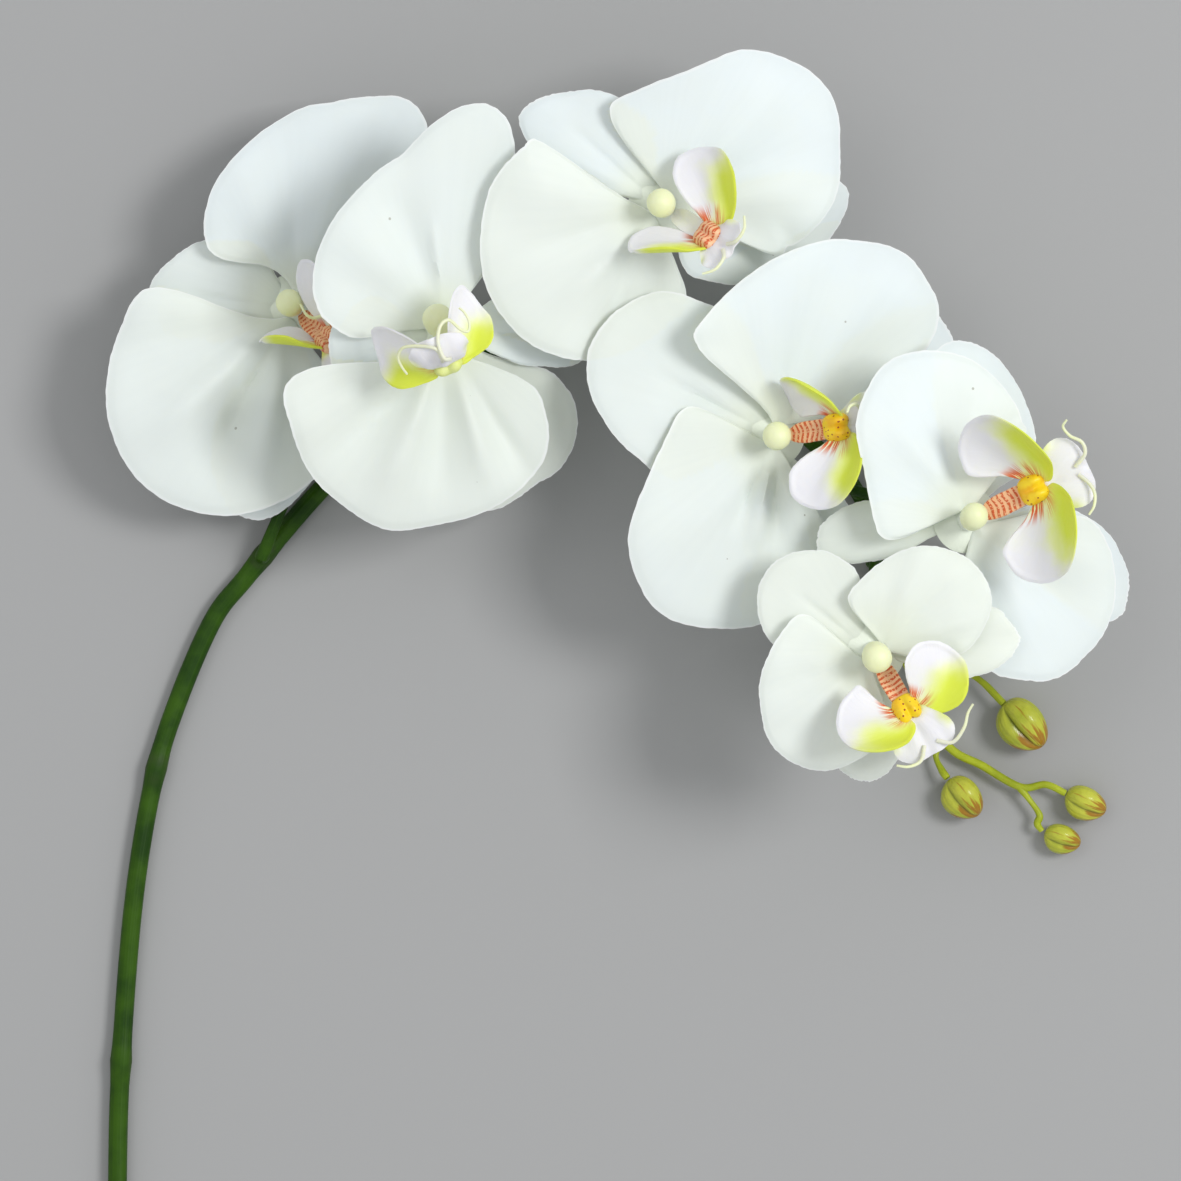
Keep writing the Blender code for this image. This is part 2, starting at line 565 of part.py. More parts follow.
def make_stem():
    route = smooth_route([(x, y, 0) for x, y in STEM_ROUTE], 2)
    flat = math.cos(math.pi / STEM_SIDES)
    radii = []
    for k, place in enumerate(route):
        radius = STEM_RADIUS + (STEM_TOP_RADIUS - STEM_RADIUS) * ease(0.6, 1, k / (len(route) - 1))
        for x, y in NODES:
            away = (place - Vector((x, y, 0))).length / NODE_HALF_LENGTH
            radius *= 1 + (NODE_SWELL - 1) * max(0, 1 - away)
        radii.append(float(radius))
        place.z = float(radius) * flat
    return tube("stem", route, radii, STEM_SIDES, "Z_UP", 180 / STEM_SIDES)


def make_tip():
    route = smooth_route(TIP_ROUTE, 2)
    last = len(route) - 1
    radii = [TIP_RADIUS + (BUD_STALK_RADIUS - TIP_RADIUS) * k / last for k in range(last + 1)]
    branches = []
    for points in BUD_STALK_ROUTES:
        way = smooth_route(points, 2)
        branches.append(tube("bud_stalk", way, [BUD_STALK_RADIUS] * len(way), 6, "Z_UP"))
    return join(tube("stem_tip", route, radii, 6, "Z_UP"), branches)


def make_bud(bud):
    """An egg with three shallow grooves between its closed sepals, and a blunt point."""
    bpy.ops.mesh.primitive_uv_sphere_add(segments=BUD_SEGMENTS, ring_count=BUD_RINGS, radius=1)
    made = bpy.context.object
    made.name = bud.name
    place = Matrix.Translation((bud.x, bud.y, bud.z)) @ turn_matrix(bud.azimuth)
    for vertex in made.data.vertices:
        x, y, z = vertex.co
        turn = math.atan2(y, x)
        away = abs(math.remainder(turn + math.pi / 2, 2 * math.pi / 3))
        groove = 1 - BUD_GROOVE * max(0, 1 - away / 0.35) * (1 - abs(z) ** 3)
        wide = groove * (1 - 0.12 * z)
        egg = Vector((z * bud.length / 2, -y * wide * bud.width / 2, x * wide * bud.width / 2))
        vertex.co = place @ egg * MM
    return made


def main():
    clear_scene()
    orchid = new_collection("moth_orchid_stem")
    spray = bpy.data.objects.new("spray", None)
    orchid.objects.link(spray)
    spray.location = (GROUP_X, GROUP_Y, 0)
    petal = material("petal_white", PETAL_WHITE, 0.6)
    lip = material("lip_white", LIP_WHITE, 0.5)
    column = material("column_cream", COLUMN_CREAM, 0.5)
    stem_green = material("stem_green", STEM_GREEN, 0.45)
    stalk_green = material("stalk_green", STALK_GREEN, 0.5)
    tip_green = material("tip_green", TIP_GREEN, 0.45)
    bud_green = material("bud_green", BUD_GREEN, 0.4)
    made = [(make_stem(), stem_green), (make_tip(), tip_green)]
    made += [(make_bud(bud), bud_green) for bud in BUDS]
    for bloom in BLOOMS:
        made.append((make_stalk(bloom), stalk_green))
        made += [(make_tepal(bloom, tepal), petal) for tepal in bloom.tepals]
        made.append((make_lip(bloom), lip))
        made.append((make_column(bloom), column))
    for item, look in made:
        item.data.materials.clear()
        item.data.materials.append(look)
        for old in list(item.users_collection):
            old.objects.unlink(item)
        orchid.objects.link(item)
        item.parent = spray


main()
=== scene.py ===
"""The looks of a cut moth orchid stem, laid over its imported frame.

The stem lies on its back on a pale floor. Six white blooms look up from it, and four buds sit
on its pale tip. Sizes in the tables are in millimetres and degrees, X runs right and Y runs
away from the cut end. The file is laid out as an add-on and is run as a script.
"""

import math
from collections import namedtuple

import bpy
import numpy as np
from bpy.props import FloatProperty, FloatVectorProperty, IntProperty, PointerProperty
from mathutils import Matrix, Vector
from mathutils.bvhtree import BVHTree


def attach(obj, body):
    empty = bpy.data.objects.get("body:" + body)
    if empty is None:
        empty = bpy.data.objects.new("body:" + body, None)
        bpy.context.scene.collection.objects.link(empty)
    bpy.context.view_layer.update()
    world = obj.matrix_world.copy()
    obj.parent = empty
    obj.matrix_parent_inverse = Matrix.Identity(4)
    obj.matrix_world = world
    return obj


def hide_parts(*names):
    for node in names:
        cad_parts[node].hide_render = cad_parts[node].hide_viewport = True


bl_info = {
    "name": "Moth orchid stem",
    "version": (1, 0, 0),
    "blender": (4, 5, 0),
    "location": "View3D > Sidebar > Orchid",
    "description": "Models a white moth orchid spray over its frame",
    "category": "Add Mesh",
}

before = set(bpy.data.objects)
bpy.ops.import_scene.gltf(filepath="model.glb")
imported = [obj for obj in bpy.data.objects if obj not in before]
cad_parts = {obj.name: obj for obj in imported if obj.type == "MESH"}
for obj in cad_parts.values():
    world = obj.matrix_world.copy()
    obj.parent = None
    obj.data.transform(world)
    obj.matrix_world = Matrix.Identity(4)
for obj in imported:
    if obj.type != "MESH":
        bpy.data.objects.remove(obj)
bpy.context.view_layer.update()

MM = 0.001
GROUP = Vector((-6.0, 123.2, 0.0))

# claw and tip are the shares of the full width at both ends, and heel and toe say where
# the full width starts and stops, on a scale from -1 at the base to 1 at the tip.
Shape = namedtuple("Shape", "claw heel toe tip fullness")
PETAL = Shape(0.16, -0.60, 0.3, 1.0, 2.15)
POINTED_PETAL = Shape(0.16, -0.65, 0.1, 0.85, 1.85)
BROAD_PETAL = Shape(0.16, -0.70, -0.3, 0.72, 2.15)
SEPAL = Shape(0.30, -0.05, 0.3, 0.92, 2.15)
TONGUE = Shape(0.80, -0.40, 0.3, 1.0, 3.00)
SIDE_LOBE = Shape(0.55, 0.0, 0.4, 0.92, 2.20)
MIDDLE_LOBE = Shape(0.42, 0.35, 0.5, 0.86, 4.20)

# An outline's reach every 30 degrees, from the tip round by the left side
LEFT_LOBE_EDGE = (1.0, 1.18, 1.06, 0.88, 0.84, 0.93, 1.0, 1.14, 1.2, 1.08, 0.98, 0.9)
RIGHT_LOBE_EDGE = (1.0, 0.9, 0.98, 1.08, 1.2, 1.14, 1.0, 0.93, 0.84, 0.88, 1.06, 1.18)

Tepal = namedtuple(
    "Tepal",
    "name shape azimuth length width rise roll curl cup tip_cup heel_skew skew level edge",
    defaults=[()],
)
# The fields that give a blade its form, from length to skew
FORM = slice(3, 12)
Bloom = namedtuple(
    "Bloom",
    "name x y z lean lean_azimuth lip_azimuth lip_lean lip_lean_azimuth size side_lobes "
    "middle_lobe tendrils stalk tepals",
)

BLOOMS = [
    Bloom(
        "bloom_1", -81.6, 77.6, 19, 12, -20, -43, 34, 138, 0.91,
        [(146, 25, 17, 42, -38), (149, 23.8, 17.5, 11, -51)], (17.5, 20, 4),
        [
            [
                (18.0, 2.5, 3.4), (14.5, 3.8, 5.6), (13.3, 1.5, 7.5), (12.0, 0.9, 9.6),
                (9.4, 2.0, 11.6),
            ],
            [(31.5, -1.0, 0.5), (35.0, -4.0, 2.0), (35.0, -8.0, 3.5), (33.0, -11.0, 4.5)],
        ],
        [(-90.5, 9.5, 6.0), (-90.5, 9.5, 7.6), (-84.2, 24.6, 9.6), (-79.0, 35.0, 9.8)],
        [
            Tepal("dorsal_sepal", SEPAL, 173, 36.5, 36.5, 0, 0, -10, 10, 5, 0.3, 0.15, -0.8,
                  (1.02, 0.96, 0.8, 0.69, 1.03, 1.31, 1, 1.3, 1.24, 0.9, 0.93, 0.94)),
            Tepal("upper_petal", PETAL, 84, 55, 55, 8, 0, -14, 10, 0, -0.15, -0.55, 1.5,
                  (0.94, 1, 1.08, 0.99, 0.96, 0.74, 1, 1.12, 0.86, 1.16, 1.09, 0.93)),
            Tepal("lower_petal", PETAL, 231, 59.5, 69.5, 8, 0, -14, 10, 0, -0.15, 0, 0.3,
                  (1.07, 1.01, 0.95, 1, 1.04, 1.3, 1, 0.91, 1.13, 0.98, 0.93, 0.99)),
            Tepal("upper_sepal", SEPAL, 20, 46, 32, 0, 0, -10, 10, 5, 0, 0, -2.0),
            Tepal("lower_sepal", SEPAL, 259, 57, 34, 4, 0, -10, 10, 5, 0, 0, -2.0),
        ],
    ),
    Bloom(
        "bloom_2", -39.0, 69.0, 48, 15, -60, -74, 64, 114, 1.0,
        [(150, 20, 15, 34, 72), (140, 24, 16, 14, 66)], (17, 18, 10),
        [
            [
                (29.5, 2.2, 2.4), (31.0, 2.4, 4.5), (30.5, 1.3, 8.3), (28.5, 1.3, 12.3),
                (26.5, 3.3, 15.5), (25.0, 5.9, 15.6), (24.5, 7.5, 11.8), (24.0, 9.2, 10.2),
                (23.0, 10.3, 12.1), (22.0, 10.1, 14.5), (21.0, 9.1, 16.1),
            ],
            [
                (29.0, 1.0, 2.4), (29.5, 1.6, 6.0), (29.0, 0.1, 10.9), (27.0, -4.2, 12.6),
                (25.0, -8.4, 12.8), (24.0, -10.8, 10.4), (23.5, -11.0, 7.1), (23.0, -10.6, 4.4),
            ],
        ],
        [(-62, 42, 5.3), (-62, 42, 7.0), (-61, 44, 14)],
        [
            Tepal("dorsal_sepal", SEPAL, 192, 29, 31, 2, 0, -10, 10, 5, 0, 0, -0.8),
            Tepal("upper_petal", POINTED_PETAL, 106, 54.5, 57.5, 1, 0, -10, 10, 0, -0.25, -0.45,
                  1.5, (0.73, 0.88, 1.16, 1.11, 1.09, 1.29, 1, 1.16, 0.87, 1.1, 1.2, 0.92)),
            Tepal("lower_petal", BROAD_PETAL, 254, 54.5, 69.5, 8, 0, -14, 10, 0, -0.2, -0.05, 0.3,
                  (0.95, 0.91, 1, 1.05, 1, 1.07, 1, 0.89, 1.2, 1.05, 1.04, 0.94)),
            Tepal("upper_sepal", SEPAL, 0, 39.5, 22, -3, 0, -10, 10, 5, -0.45, -0.3, -0.8,
                  (0.96, 1.01, 1.09, 0.98, 1.17, 1.12, 1, 1.06, 1.05, 0.87, 1.04, 1.03)),
            Tepal("lower_sepal", SEPAL, -58, 55, 39.5, -10, 0, -10, 10, 5, 0.1, -0.2, -2,
                  (0.88, 1, 1.11, 1, 0.98, 1.05, 1, 1.02, 0.93, 0.91, 1.13, 0.94)),
        ],
    ),
    Bloom(
        "bloom_3", 19.2, 103.6, 46.5, 15, -30, -36, 33, 145, 0.95,
        [(142, 27, 20, 18, 0), (148, 25, 16, 20, -35)], (13, 16, 28),
        [
            [(27.5, 1.0, 4.8), (30.5, 3.0, 6.6), (31.0, 7.0, 7.6), (29.0, 10.0, 8.4)],
            [(27.5, -1.0, 4.8), (30.5, -3.0, 6.6), (31.0, -7.0, 7.6), (29.0, -10.0, 8.4)],
        ],
        [(4, 73, 4.9), (4, 73, 6.6), (5, 74, 14)],
        [
            Tepal("dorsal_sepal", SEPAL, 139, 41.5, 29, -4, 0, -10, 10, 5, 0.2, 0.1, -0.8,
                  (0.99, 1.13, 0.93, 0.74, 0.98, 1.07, 1, 1.18, 1.19, 1.09, 1, 0.91)),
            Tepal("upper_petal", BROAD_PETAL, 19, 48, 69, 8, 0, -14, 10, 0, -0.65, -0.1, 1.5,
                  (1.05, 1.32, 1.32, 1, 1.05, 1.3, 1, 1.3, 0.72, 0.65, 0.74, 0.92)),
            Tepal("lower_petal", PETAL, 204, 49, 63, 8, 0, -14, 10, 0, -0.4, 0.05, 0.3,
                  (1.06, 1.01, 0.96, 1.02, 1.01, 1.26, 1, 0.97, 1.09, 0.99, 0.98, 0.99)),
            Tepal("upper_sepal", SEPAL, -15, 48.5, 37, -8, 0, -10, 10, 5, 0.55, 0.65, -0.8,
                  (1.03, 1.04, 1.17, 1.05, 1.11, 1.13, 1, 1.13, 1.09, 0.88, 0.93, 0.94)),
            Tepal("lower_sepal", SEPAL, -115, 30, 26, -8, 0, -10, 10, 5, 0, 0, -2.0),
        ],
    ),
    Bloom(
        "bloom_4", 49.8, 42.0, 42, 15, -20, 8, 27, -173, 0.95,
        [(140, 22, 20, 22, -62), (117, 24, 22, 26, 4)], (15, 18, -10),
        [
            [(26.5, 2.2, -0.4), (27.2, 5.3, 3.6), (26.0, 5.2, 6.2), (25.5, 3.4, 7.8)],
            [(28.0, -1.0, -0.6), (30.0, -3.5, 0.0), (29.5, -6.0, 0.2), (27.5, -8.0, 0.4)],
        ],
        [(42, 58, 4.7), (42, 58, 6.4), (42.5, 57, 14)],
        [
            Tepal("dorsal_sepal", SEPAL, 153, 52, 49.5, 0, 0, -10, 10, 5, -0.05, -0.15, -0.8,
                  (1.06, 1.05, 0.96, 0.97, 1.29, 1.17, 1, 1.28, 1.24, 0.94, 0.98, 1)),
            Tepal("upper_petal", PETAL, 70, 53.5, 60, 8, 8, -14, 10, 0, 0.05, -0.4, 1.5,
                  (1.02, 1.02, 1.06, 1.16, 1.15, 1.15, 1, 1.05, 0.78, 1.13, 1.01, 1.02)),
            Tepal("lower_petal", BROAD_PETAL, 253, 49.5, 70, 8, 0, -14, 10, 0, 0.5, 0, 0.3,
                  (1.1, 1, 0.81, 0.67, 0.72, 1.26, 1, 1.24, 0.93, 0.94, 1.23, 1.28)),
            Tepal("upper_sepal", SEPAL, 30, 60, 31.5, -8, 0, -10, 10, 5, 0.15, -0.05, -2,
                  (0.97, 0.99, 1.02, 0.97, 1.11, 1.1, 1, 1.08, 1.1, 0.87, 1.08, 1.04)),
            Tepal("lower_sepal", SEPAL, -75, 46, 34, -8, 0, -10, 10, 5, 0, 0, -2.0),
        ],
    ),
    Bloom(
        "bloom_5", 101.1, 19.0, 56, 12, 0, 25, 17, 188, 1.0,
        [(115, 25, 22, 48, -26), (114, 25, 23, 34, -25)], (17.5, 20, 4),
        [
            [
                (31.8, 0.8, 0.5), (35.8, 2.7, 1.5), (36.6, 5.8, 2.5), (34.6, 8.6, 3.5),
                (34.1, 11.5, 4.5), (35.9, 12.7, 5.0),
            ],
            [
                (31.8, -1.5, 0.5), (33.6, -5.1, 1.5), (33.9, -8.2, 2.5), (32.6, -11.0, 3.5),
                (30.5, -12.6, 4.2),
            ],
        ],
        [(74, 27, 4.4), (74, 27, 6.0), (74.5, 27, 14)],
        [
            Tepal("dorsal_sepal", SEPAL, 187, 39.5, 18, -15, 0, -10, 10, 5, 0.55, 0.25, -0.8,
                  (0.93, 1, 1.01, 0.9, 1.07, 1.19, 1, 1.22, 1.08, 0.91, 1.01, 0.94)),
            Tepal("upper_petal", BROAD_PETAL, 102, 40, 58, 8, 0, -14, 10, 0, -0.5, 0, 1.5,
                  (1.18, 1.31, 1.21, 0.94, 1.01, 1.29, 1, 1.25, 0.78, 0.7, 0.81, 1.02)),
            Tepal("lower_petal", PETAL, -45, 48.5, 46, 2, 0, -14, 10, 0, 0.1, -0.15, 0.3,
                  (0.98, 1.01, 1.05, 1.07, 0.96, 1.17, 1, 1.13, 0.86, 1.07, 0.96, 0.96)),
            Tepal("upper_sepal", SEPAL, 81, 46.5, 33, -8, 0, -10, 10, 5, 0.3, 0.2, -2,
                  (0.99, 1.05, 1.08, 0.92, 0.96, 1.08, 1, 1.13, 1.06, 1.06, 0.94, 0.93)),
            Tepal("lower_sepal", SEPAL, -20, 55, 27, -12, 0, -10, 10, 5, -0.25, -0.35, -2,
                  (0.95, 0.95, 1.06, 1.01, 1.1, 1.01, 1, 1.1, 0.99, 0.87, 1.08, 1.03)),
        ],
    ),
    Bloom(
        "bloom_6", 75.5, -16.6, 60, 5, -40, -60, 11, 127, 0.9,
        [(136, 22, 21, 12, 26), (110, 21.5, 23, 42, -22)], (17.5, 20, 4),
        [
            [
                (32.0, 3.0, 0.5), (34.9, 6.9, 1.4), (33.1, 11.8, 3.0), (30.0, 15.0, 4.0),
                (28.6, 17.6, 5.0),
            ],
            [(31.5, -1.0, 0.5), (35.0, -4.0, 2.0), (35.0, -8.0, 3.5), (33.0, -11.0, 4.5)],
        ],
        [(78, 8, 4.3), (78, 8, 6.0), (78, 7, 14)],
        [
            Tepal("dorsal_sepal", SEPAL, 142, 32.5, 31, -4, 0, -10, 10, 5, 0, 0, -0.8,
                  (1.04, 1, 0.98, 0.97, 1.1, 1.19, 1, 1.18, 1.13, 0.97, 1, 1.01)),
            Tepal("upper_petal", BROAD_PETAL, 34, 32.5, 40.5, 8, 0, -14, 10, 0, -0.45, 0.05, 1.5,
                  (1.05, 1.07, 1.07, 0.99, 0.99, 1.22, 1, 1.18, 0.73, 0.69, 0.84, 1.01)),
            Tepal("lower_petal", BROAD_PETAL, 235, 31, 47, 8, 0, -14, 10, 0, 0.35, -0.05, 0.3,
                  (1.17, 1.05, 0.79, 0.69, 0.73, 1.18, 1, 1.24, 1.1, 1.01, 1.07, 1.18)),
            Tepal("upper_sepal", SEPAL, 5, 38, 19.5, 4, 0, -10, 10, 5, 0.45, 0.1, -0.8,
                  (0.98, 0.95, 1.12, 0.99, 0.95, 1.02, 1, 1.09, 0.97, 0.95, 0.99, 0.95)),
            Tepal("lower_sepal", SEPAL, -90, 34, 20.5, -8, 0, -10, 10, 5, -0.2, -0.1, -2,
                  (0.98, 0.99, 0.98, 0.99, 1.12, 1.15, 1, 1.13, 1.08, 0.91, 1.07, 1)),
        ],
    ),
]

# A fold runs out from the claw at a place across the fan from -1 to 1. It has a width, a
# height, and the shares of the length where it starts and ends.
SOFT_PETAL = [
    (-0.55, 0.16, -0.7, 0.1, 0.95),
    (-0.2, 0.14, 0.7, 0.1, 0.95),
    (0.12, 0.1, -0.5, 0.05, 0.85),
    (0.45, 0.16, 0.8, 0.1, 0.95),
]
SOFT_SEPAL = [(0.0, 0.05, -0.45, 0.05, 0.8), (0.2, 0.12, 0.5, 0.1, 0.9)]
FOLDS = {
    "bloom_1_lower_petal": [
        (-0.6, 0.16, -1.2, 0.1, 0.9),
        (-0.15, 0.13, 2.4, 0.08, 0.97),
        (0.16, 0.09, -1.8, 0.05, 0.9),
        (0.42, 0.12, 2.2, 0.08, 0.92),
        (0.78, 0.16, -1.8, 0.1, 0.9),
    ],
    "bloom_2_upper_petal": [
        (-0.5, 0.2, -1.2, 0.1, 0.97),
        (-0.14, 0.04, 1.2, 0.08, 0.6),
        (0.05, 0.14, -1.2, 0.1, 0.9),
        (0.45, 0.2, 1.2, 0.1, 0.9),
    ],
    "bloom_2_lower_petal": [
        (-0.7, 0.18, 1.0, 0.1, 0.9),
        (-0.4, 0.14, -1.6, 0.06, 0.85),
        (-0.08, 0.12, 2.2, 0.06, 0.97),
        (0.24, 0.12, -1.6, 0.05, 0.9),
        (0.52, 0.09, 1.8, 0.04, 0.75),
        (0.75, 0.08, -1.5, 0.05, 0.7),
    ],
    "bloom_3_lower_petal": [
        (-0.5, 0.2, 1.0, 0.1, 0.9),
        (-0.1, 0.12, -1.0, 0.06, 0.85),
        (0.3, 0.12, 1.4, 0.05, 0.8),
        (0.65, 0.14, -1.2, 0.05, 0.8),
    ],
    "bloom_4_dorsal_sepal": [(0.0, 0.05, -1.1, 0.05, 0.7), (0.3, 0.18, 0.9, 0.1, 0.9)],
    "bloom_4_lower_petal": [
        (-0.4, 0.15, 0.9, 0.05, 0.85),
        (-0.12, 0.08, -1.9, 0.03, 0.55),
        (0.08, 0.08, 2.1, 0.03, 0.65),
        (0.3, 0.08, -1.9, 0.03, 0.6),
        (0.55, 0.14, 1.2, 0.05, 0.92),
    ],
}
# How creamy a sepal or petal is all over, from 0 to 1, partly its own cream and partly painted
# shade, a warm tint on blades that lie in shadow
CREAM_AND_SHADE = {
    "bloom_1_dorsal_sepal": 0.4,
    "bloom_1_lower_petal": 0.5,
    "bloom_2_upper_petal": 0.4,
    "bloom_2_lower_petal": 0.75,
    "bloom_2_lower_sepal": 0.95,
    "bloom_3_lower_petal": 0.75,
    "bloom_3_lower_sepal": 0.8,
    "bloom_4_dorsal_sepal": 0.45,
    "bloom_4_lower_petal": 0.4,
    "bloom_5_dorsal_sepal": 0.8,
    "bloom_6_dorsal_sepal": 0.9,
    "bloom_6_upper_petal": 0.85,
    "bloom_6_lower_petal": 0.75,
    "bloom_6_upper_sepal": 1.0,
    "bloom_6_lower_sepal": 0.9,
}
TEPAL_NAMES = [f"{bloom.name}_{tepal.name}" for bloom in BLOOMS for tepal in bloom.tepals]

# How softly an outline stops at the end of its claw, as a share of half the length
CLAW_END = 0.03
# How far to the side the skew takes hold, so that the claw's own end stays square
SKEW_START = 3.0
# Corners are rounded by an average over these directions, in degrees, with these shares
ROUNDING = [(-9, 0.12), (-4, 0.23), (0, 0.3), (4, 0.23), (9, 0.12)]
# The lines of the fan meet this far below a blade's base, and spread this far to each side
FAN_HEEL = 4
FAN_ANGLE = math.radians(60)
# The UV map's width, in fan angles
FAN_MAP = 2.4
# The wave of a margin and the drop of its rolled rim, and the wall's share that is left there
PETAL_WAVE = 0.45
SEPAL_WAVE = 0.25
ROLLED_RIM = 0.35
PETAL_RIM = 0.55
LOBE_RIM = 0.6
# The unevenness of a lobe's cut edge
LOBE_NICK = 0.12
# How much taller a fold is than its table says, and the shares over which it comes and goes
FOLD_HEIGHT = 1.35
FOLD_RISE = 0.32
FOLD_FADE = 0.4
# A blade gets a creamy painted shade where another lies this near behind it, or this near in front
# of it
BEHIND = 22
IN_FRONT = 40
# A point looks for what lies behind it along its normal, and in ways that lean off it
WAYS = ((0, 0), (0.12, 0), (-0.12, 0), (0, 0.12), (0, -0.12))
# How strong the painted shade from a neighbour can be, and how far in front of the blade the look
# ahead starts
BEHIND_SHADE = 0.95
IN_FRONT_SHADE = 1.1
CLEAR = 0.4
# How strong the tints of a blade's heart and margin are, and between which distances from its
# base the heart fades
HEART_TINT = 0.75
HEART_FADE = (4, 17)
MARGIN_TINT = 0.8
# Edges sharper than these angles stay hard
PETAL_EDGE = 60
LIP_EDGE = 40
STEM_EDGE = 50

# How far a bloom's seats stand from its middle, and the receptacle's outline. The stalk comes
# straight up from the neck below it, and the lip's ball joint lies above it
SEAT = 3.3
RECEPTACLE = [(-6.0, 1.7), (-3.0, 2.6), (-1.0, 3.0), (2.4, 3.0)]
NECK = 11.0
BALL_HEIGHT = 4.6
# The low white mound where the claws of a bloom meet
HEART_RADIUS = 9.0
HEART_RISE = 1.9
HEART_LEVEL = -1.7

# Along the lip, above it, and the radius there
COLUMN_PATH = [
    (0.0, -1.8, 0.5),
    (0.0, -1.1, 1.8),
    (0.0, 0.0, 2.4),
    (0.3, 2.0, 3.1),
    (1.1, 4.0, 3.8),
    (2.2, 6.2, 4.05),
    (3.4, 8.6, 3.9),
    (4.2, 10.2, 2.6),
    (4.6, 11.0, 0.8),
]
COLUMN_GIRTHS = {"bloom_5": 0.88, "bloom_6": 1.08}
# A lobe's length, width, rise, roll, curl, cup, tip cup and two skews, or the last of these
TONGUE_FORM = (17, 6.4, 8, 0, 0, 40, 30, 0, 0)
MIDDLE_BEND = (0, -22, 25, -20, 0, 0)
SIDE_BEND = (-16, 42, 34, 0)
SIDE_SKEW = 0.1
# Where the parts of a lip leave it, in the lip's own frame
TONGUE_SEAT = (2.6, 0, -0.4)
MIDDLE_SEAT = (18.0, 0, 1.6)
SIDE_SEAT = (20.5, 2.0, 1.8)
CALLUS_CENTRE = (19.5, 0.0, 3.0)
CALLUS_RADII = (4.2, 4.0, 2.7)
CALLUS_SQUARENESS = 3.2
TENDRIL_RADIUS = 0.6
# The second bloom's middle lobe curls up into a wall that hides its callus, which lies lower
CURLED_LOBES = {"bloom_2": (17, 17, 0, 0, 110, 25, 10, 0, 0)}
CURLED_STARTS = {
    "bloom_2": [[(25.0, 2.0, 5.0), (28.3, 2.2, 6.4)], [(25.0, -0.5, 5.0), (28.2, 0.4, 7)]]
}
CALLUS_DROPS = {"bloom_2": 1.6}
# How far the two side lobes of each bloom curve round the throat, in degrees
LOBE_BOWS = {
    "bloom_1": (4, 4),
    "bloom_2": (15, 15),
    "bloom_3": (45, 20),
    "bloom_4": (110, 45),
    "bloom_5": (68, 62),
    "bloom_6": (62, 68),
}
# The fourth bloom's upper lobe bends right over the throat, and three other lobes are broad
SIDE_LOBES = {
    "bloom_4": [(168, 25, 16, 22, -38), (117, 24, 22, 26, 4)],
    "bloom_5": [(115, 26, 27, 42, -16), (114, 26, 27, 30, -14)],
    "bloom_6": [(136, 22, 21, 12, 26), (112, 22, 27, 36, -12)],
}
# Deep in the first three blooms the throat shows other parts of the same print
TONGUE_LOOKS = {"bloom_2": "lobe", "bloom_3": "lobe"}
CALLUS_LOOKS = {"bloom_1": "tongue", "bloom_2": "lobe", "bloom_3": "tongue"}

# How far the stem's flat underside and its round top lie from its middle, in radii
FLAT_SIDE = math.cos(math.pi / 8)
ROUND_TOP = 0.985
# The underside is flat where the height, in radii, is less than this
FLAT_START = -0.924
# The stem's radius, what it loses by the last bloom, and the reach and swell of a node
STEM_RADIUS = 2.7
STEM_TAPER = 0.6
NODE_REACH = 7.0
NODE_SWELL = 0.16
# How far from its node's middle the dark scar lies
SCAR_PLACE = 2.9
# A stalk's radius inside the stem, where it leaves it and at its thinnest, and its taper
STALK_ROOT = 2.1
STALK_RADIUS = 1.9
STALK_LEAST = 1.5
STALK_TAPER = 0.06
# The pale tip's radius, what it loses by its end, and the radius and lumps of the bud stalks
TIP_RADIUS = 1.35
TIP_TAPER = 0.4
BUD_STALK_RADIUS = 0.95
BUD_STALK_LUMP = 0.16
BUD_STALK_MOST = 1.05
STEM_ROUTE = [
    (-128.0, -392.0),
    (-129.0, -340.0),
    (-130.2, -280.0),
    (-130.8, -220.0),
    (-130.8, -163.0),
    (-129.8, -130.0),
    (-126.3, -86.0),
    (-120.7, -52.0),
    (-113.9, -30.0),
    (-104.3, -8.0),
    (-95.8, 3.0),
    (-86.8, 14.0),
    (-74.5, 28.0),
    (-52.7, 51.0),
    (-25.0, 68.0),
    (5.4, 73.0),
    (35.8, 62.0),
    (57.9, 44.0),
    (74.5, 26.0),
    (80.6, -2.0),
]
STEM_NODES = [(-129.8, -130.0), (-120.0, -49.0), (-90.5, 9.5)]
TIP_ROUTE = [
    (80.8, -2.9, 2.2),
    (87.0, -19.0, 2.4),
    (97.6, -41.5, 3.4),
    (108.6, -48.6, 4.2),
    (118.8, -54.3, 4.8),
    (125.7, -53.6, 5.0),
    (131.2, -56.0, 5.2),
]
BUD_STALK_ROUTES = [
    [(83.0, -10.0, 2.4), (92.5, -17.0, 3.4), (106.3, -23.9, 5.0), (114.0, -31.2, 6.2)],
    [(97.0, -41.0, 3.4), (95.4, -45.6, 4.0), (97.0, -49.6, 5.0), (98.5, -51.8, 5.8)],
    [
        (118.0, -53.8, 4.8),
        (121.4, -58.0, 4.8),
        (124.0, -62.0, 4.8),
        (123.4, -64.4, 4.7),
        (124.7, -66.4, 4.6),
    ],
]
Bud = namedtuple("Bud", "name x y z length width azimuth groove")
BUDS = [
    Bud("bud_1", 119.6, -36.9, 6.8, 16.0, 13.4, -50, 0.26),
    Bud("bud_2", 103.0, -57.1, 6.0, 12.8, 11.2, -50, 0.14),
    Bud("bud_3", 136.8, -58.5, 5.4, 12.0, 9.6, -25, 0.12),
    Bud("bud_4", 130.4, -68.4, 4.6, 10.4, 8.4, -18, 0.12),
]

# The skin's share of a bud's width, which leaves room for its bulges
BUD_GIRTH = 0.96

# The photograph's side in pixels, the size of one of them, and the height where it is that size
PHOTO_SIDE = 1181
PIXEL = 0.27
PIXEL_LEVEL = 45
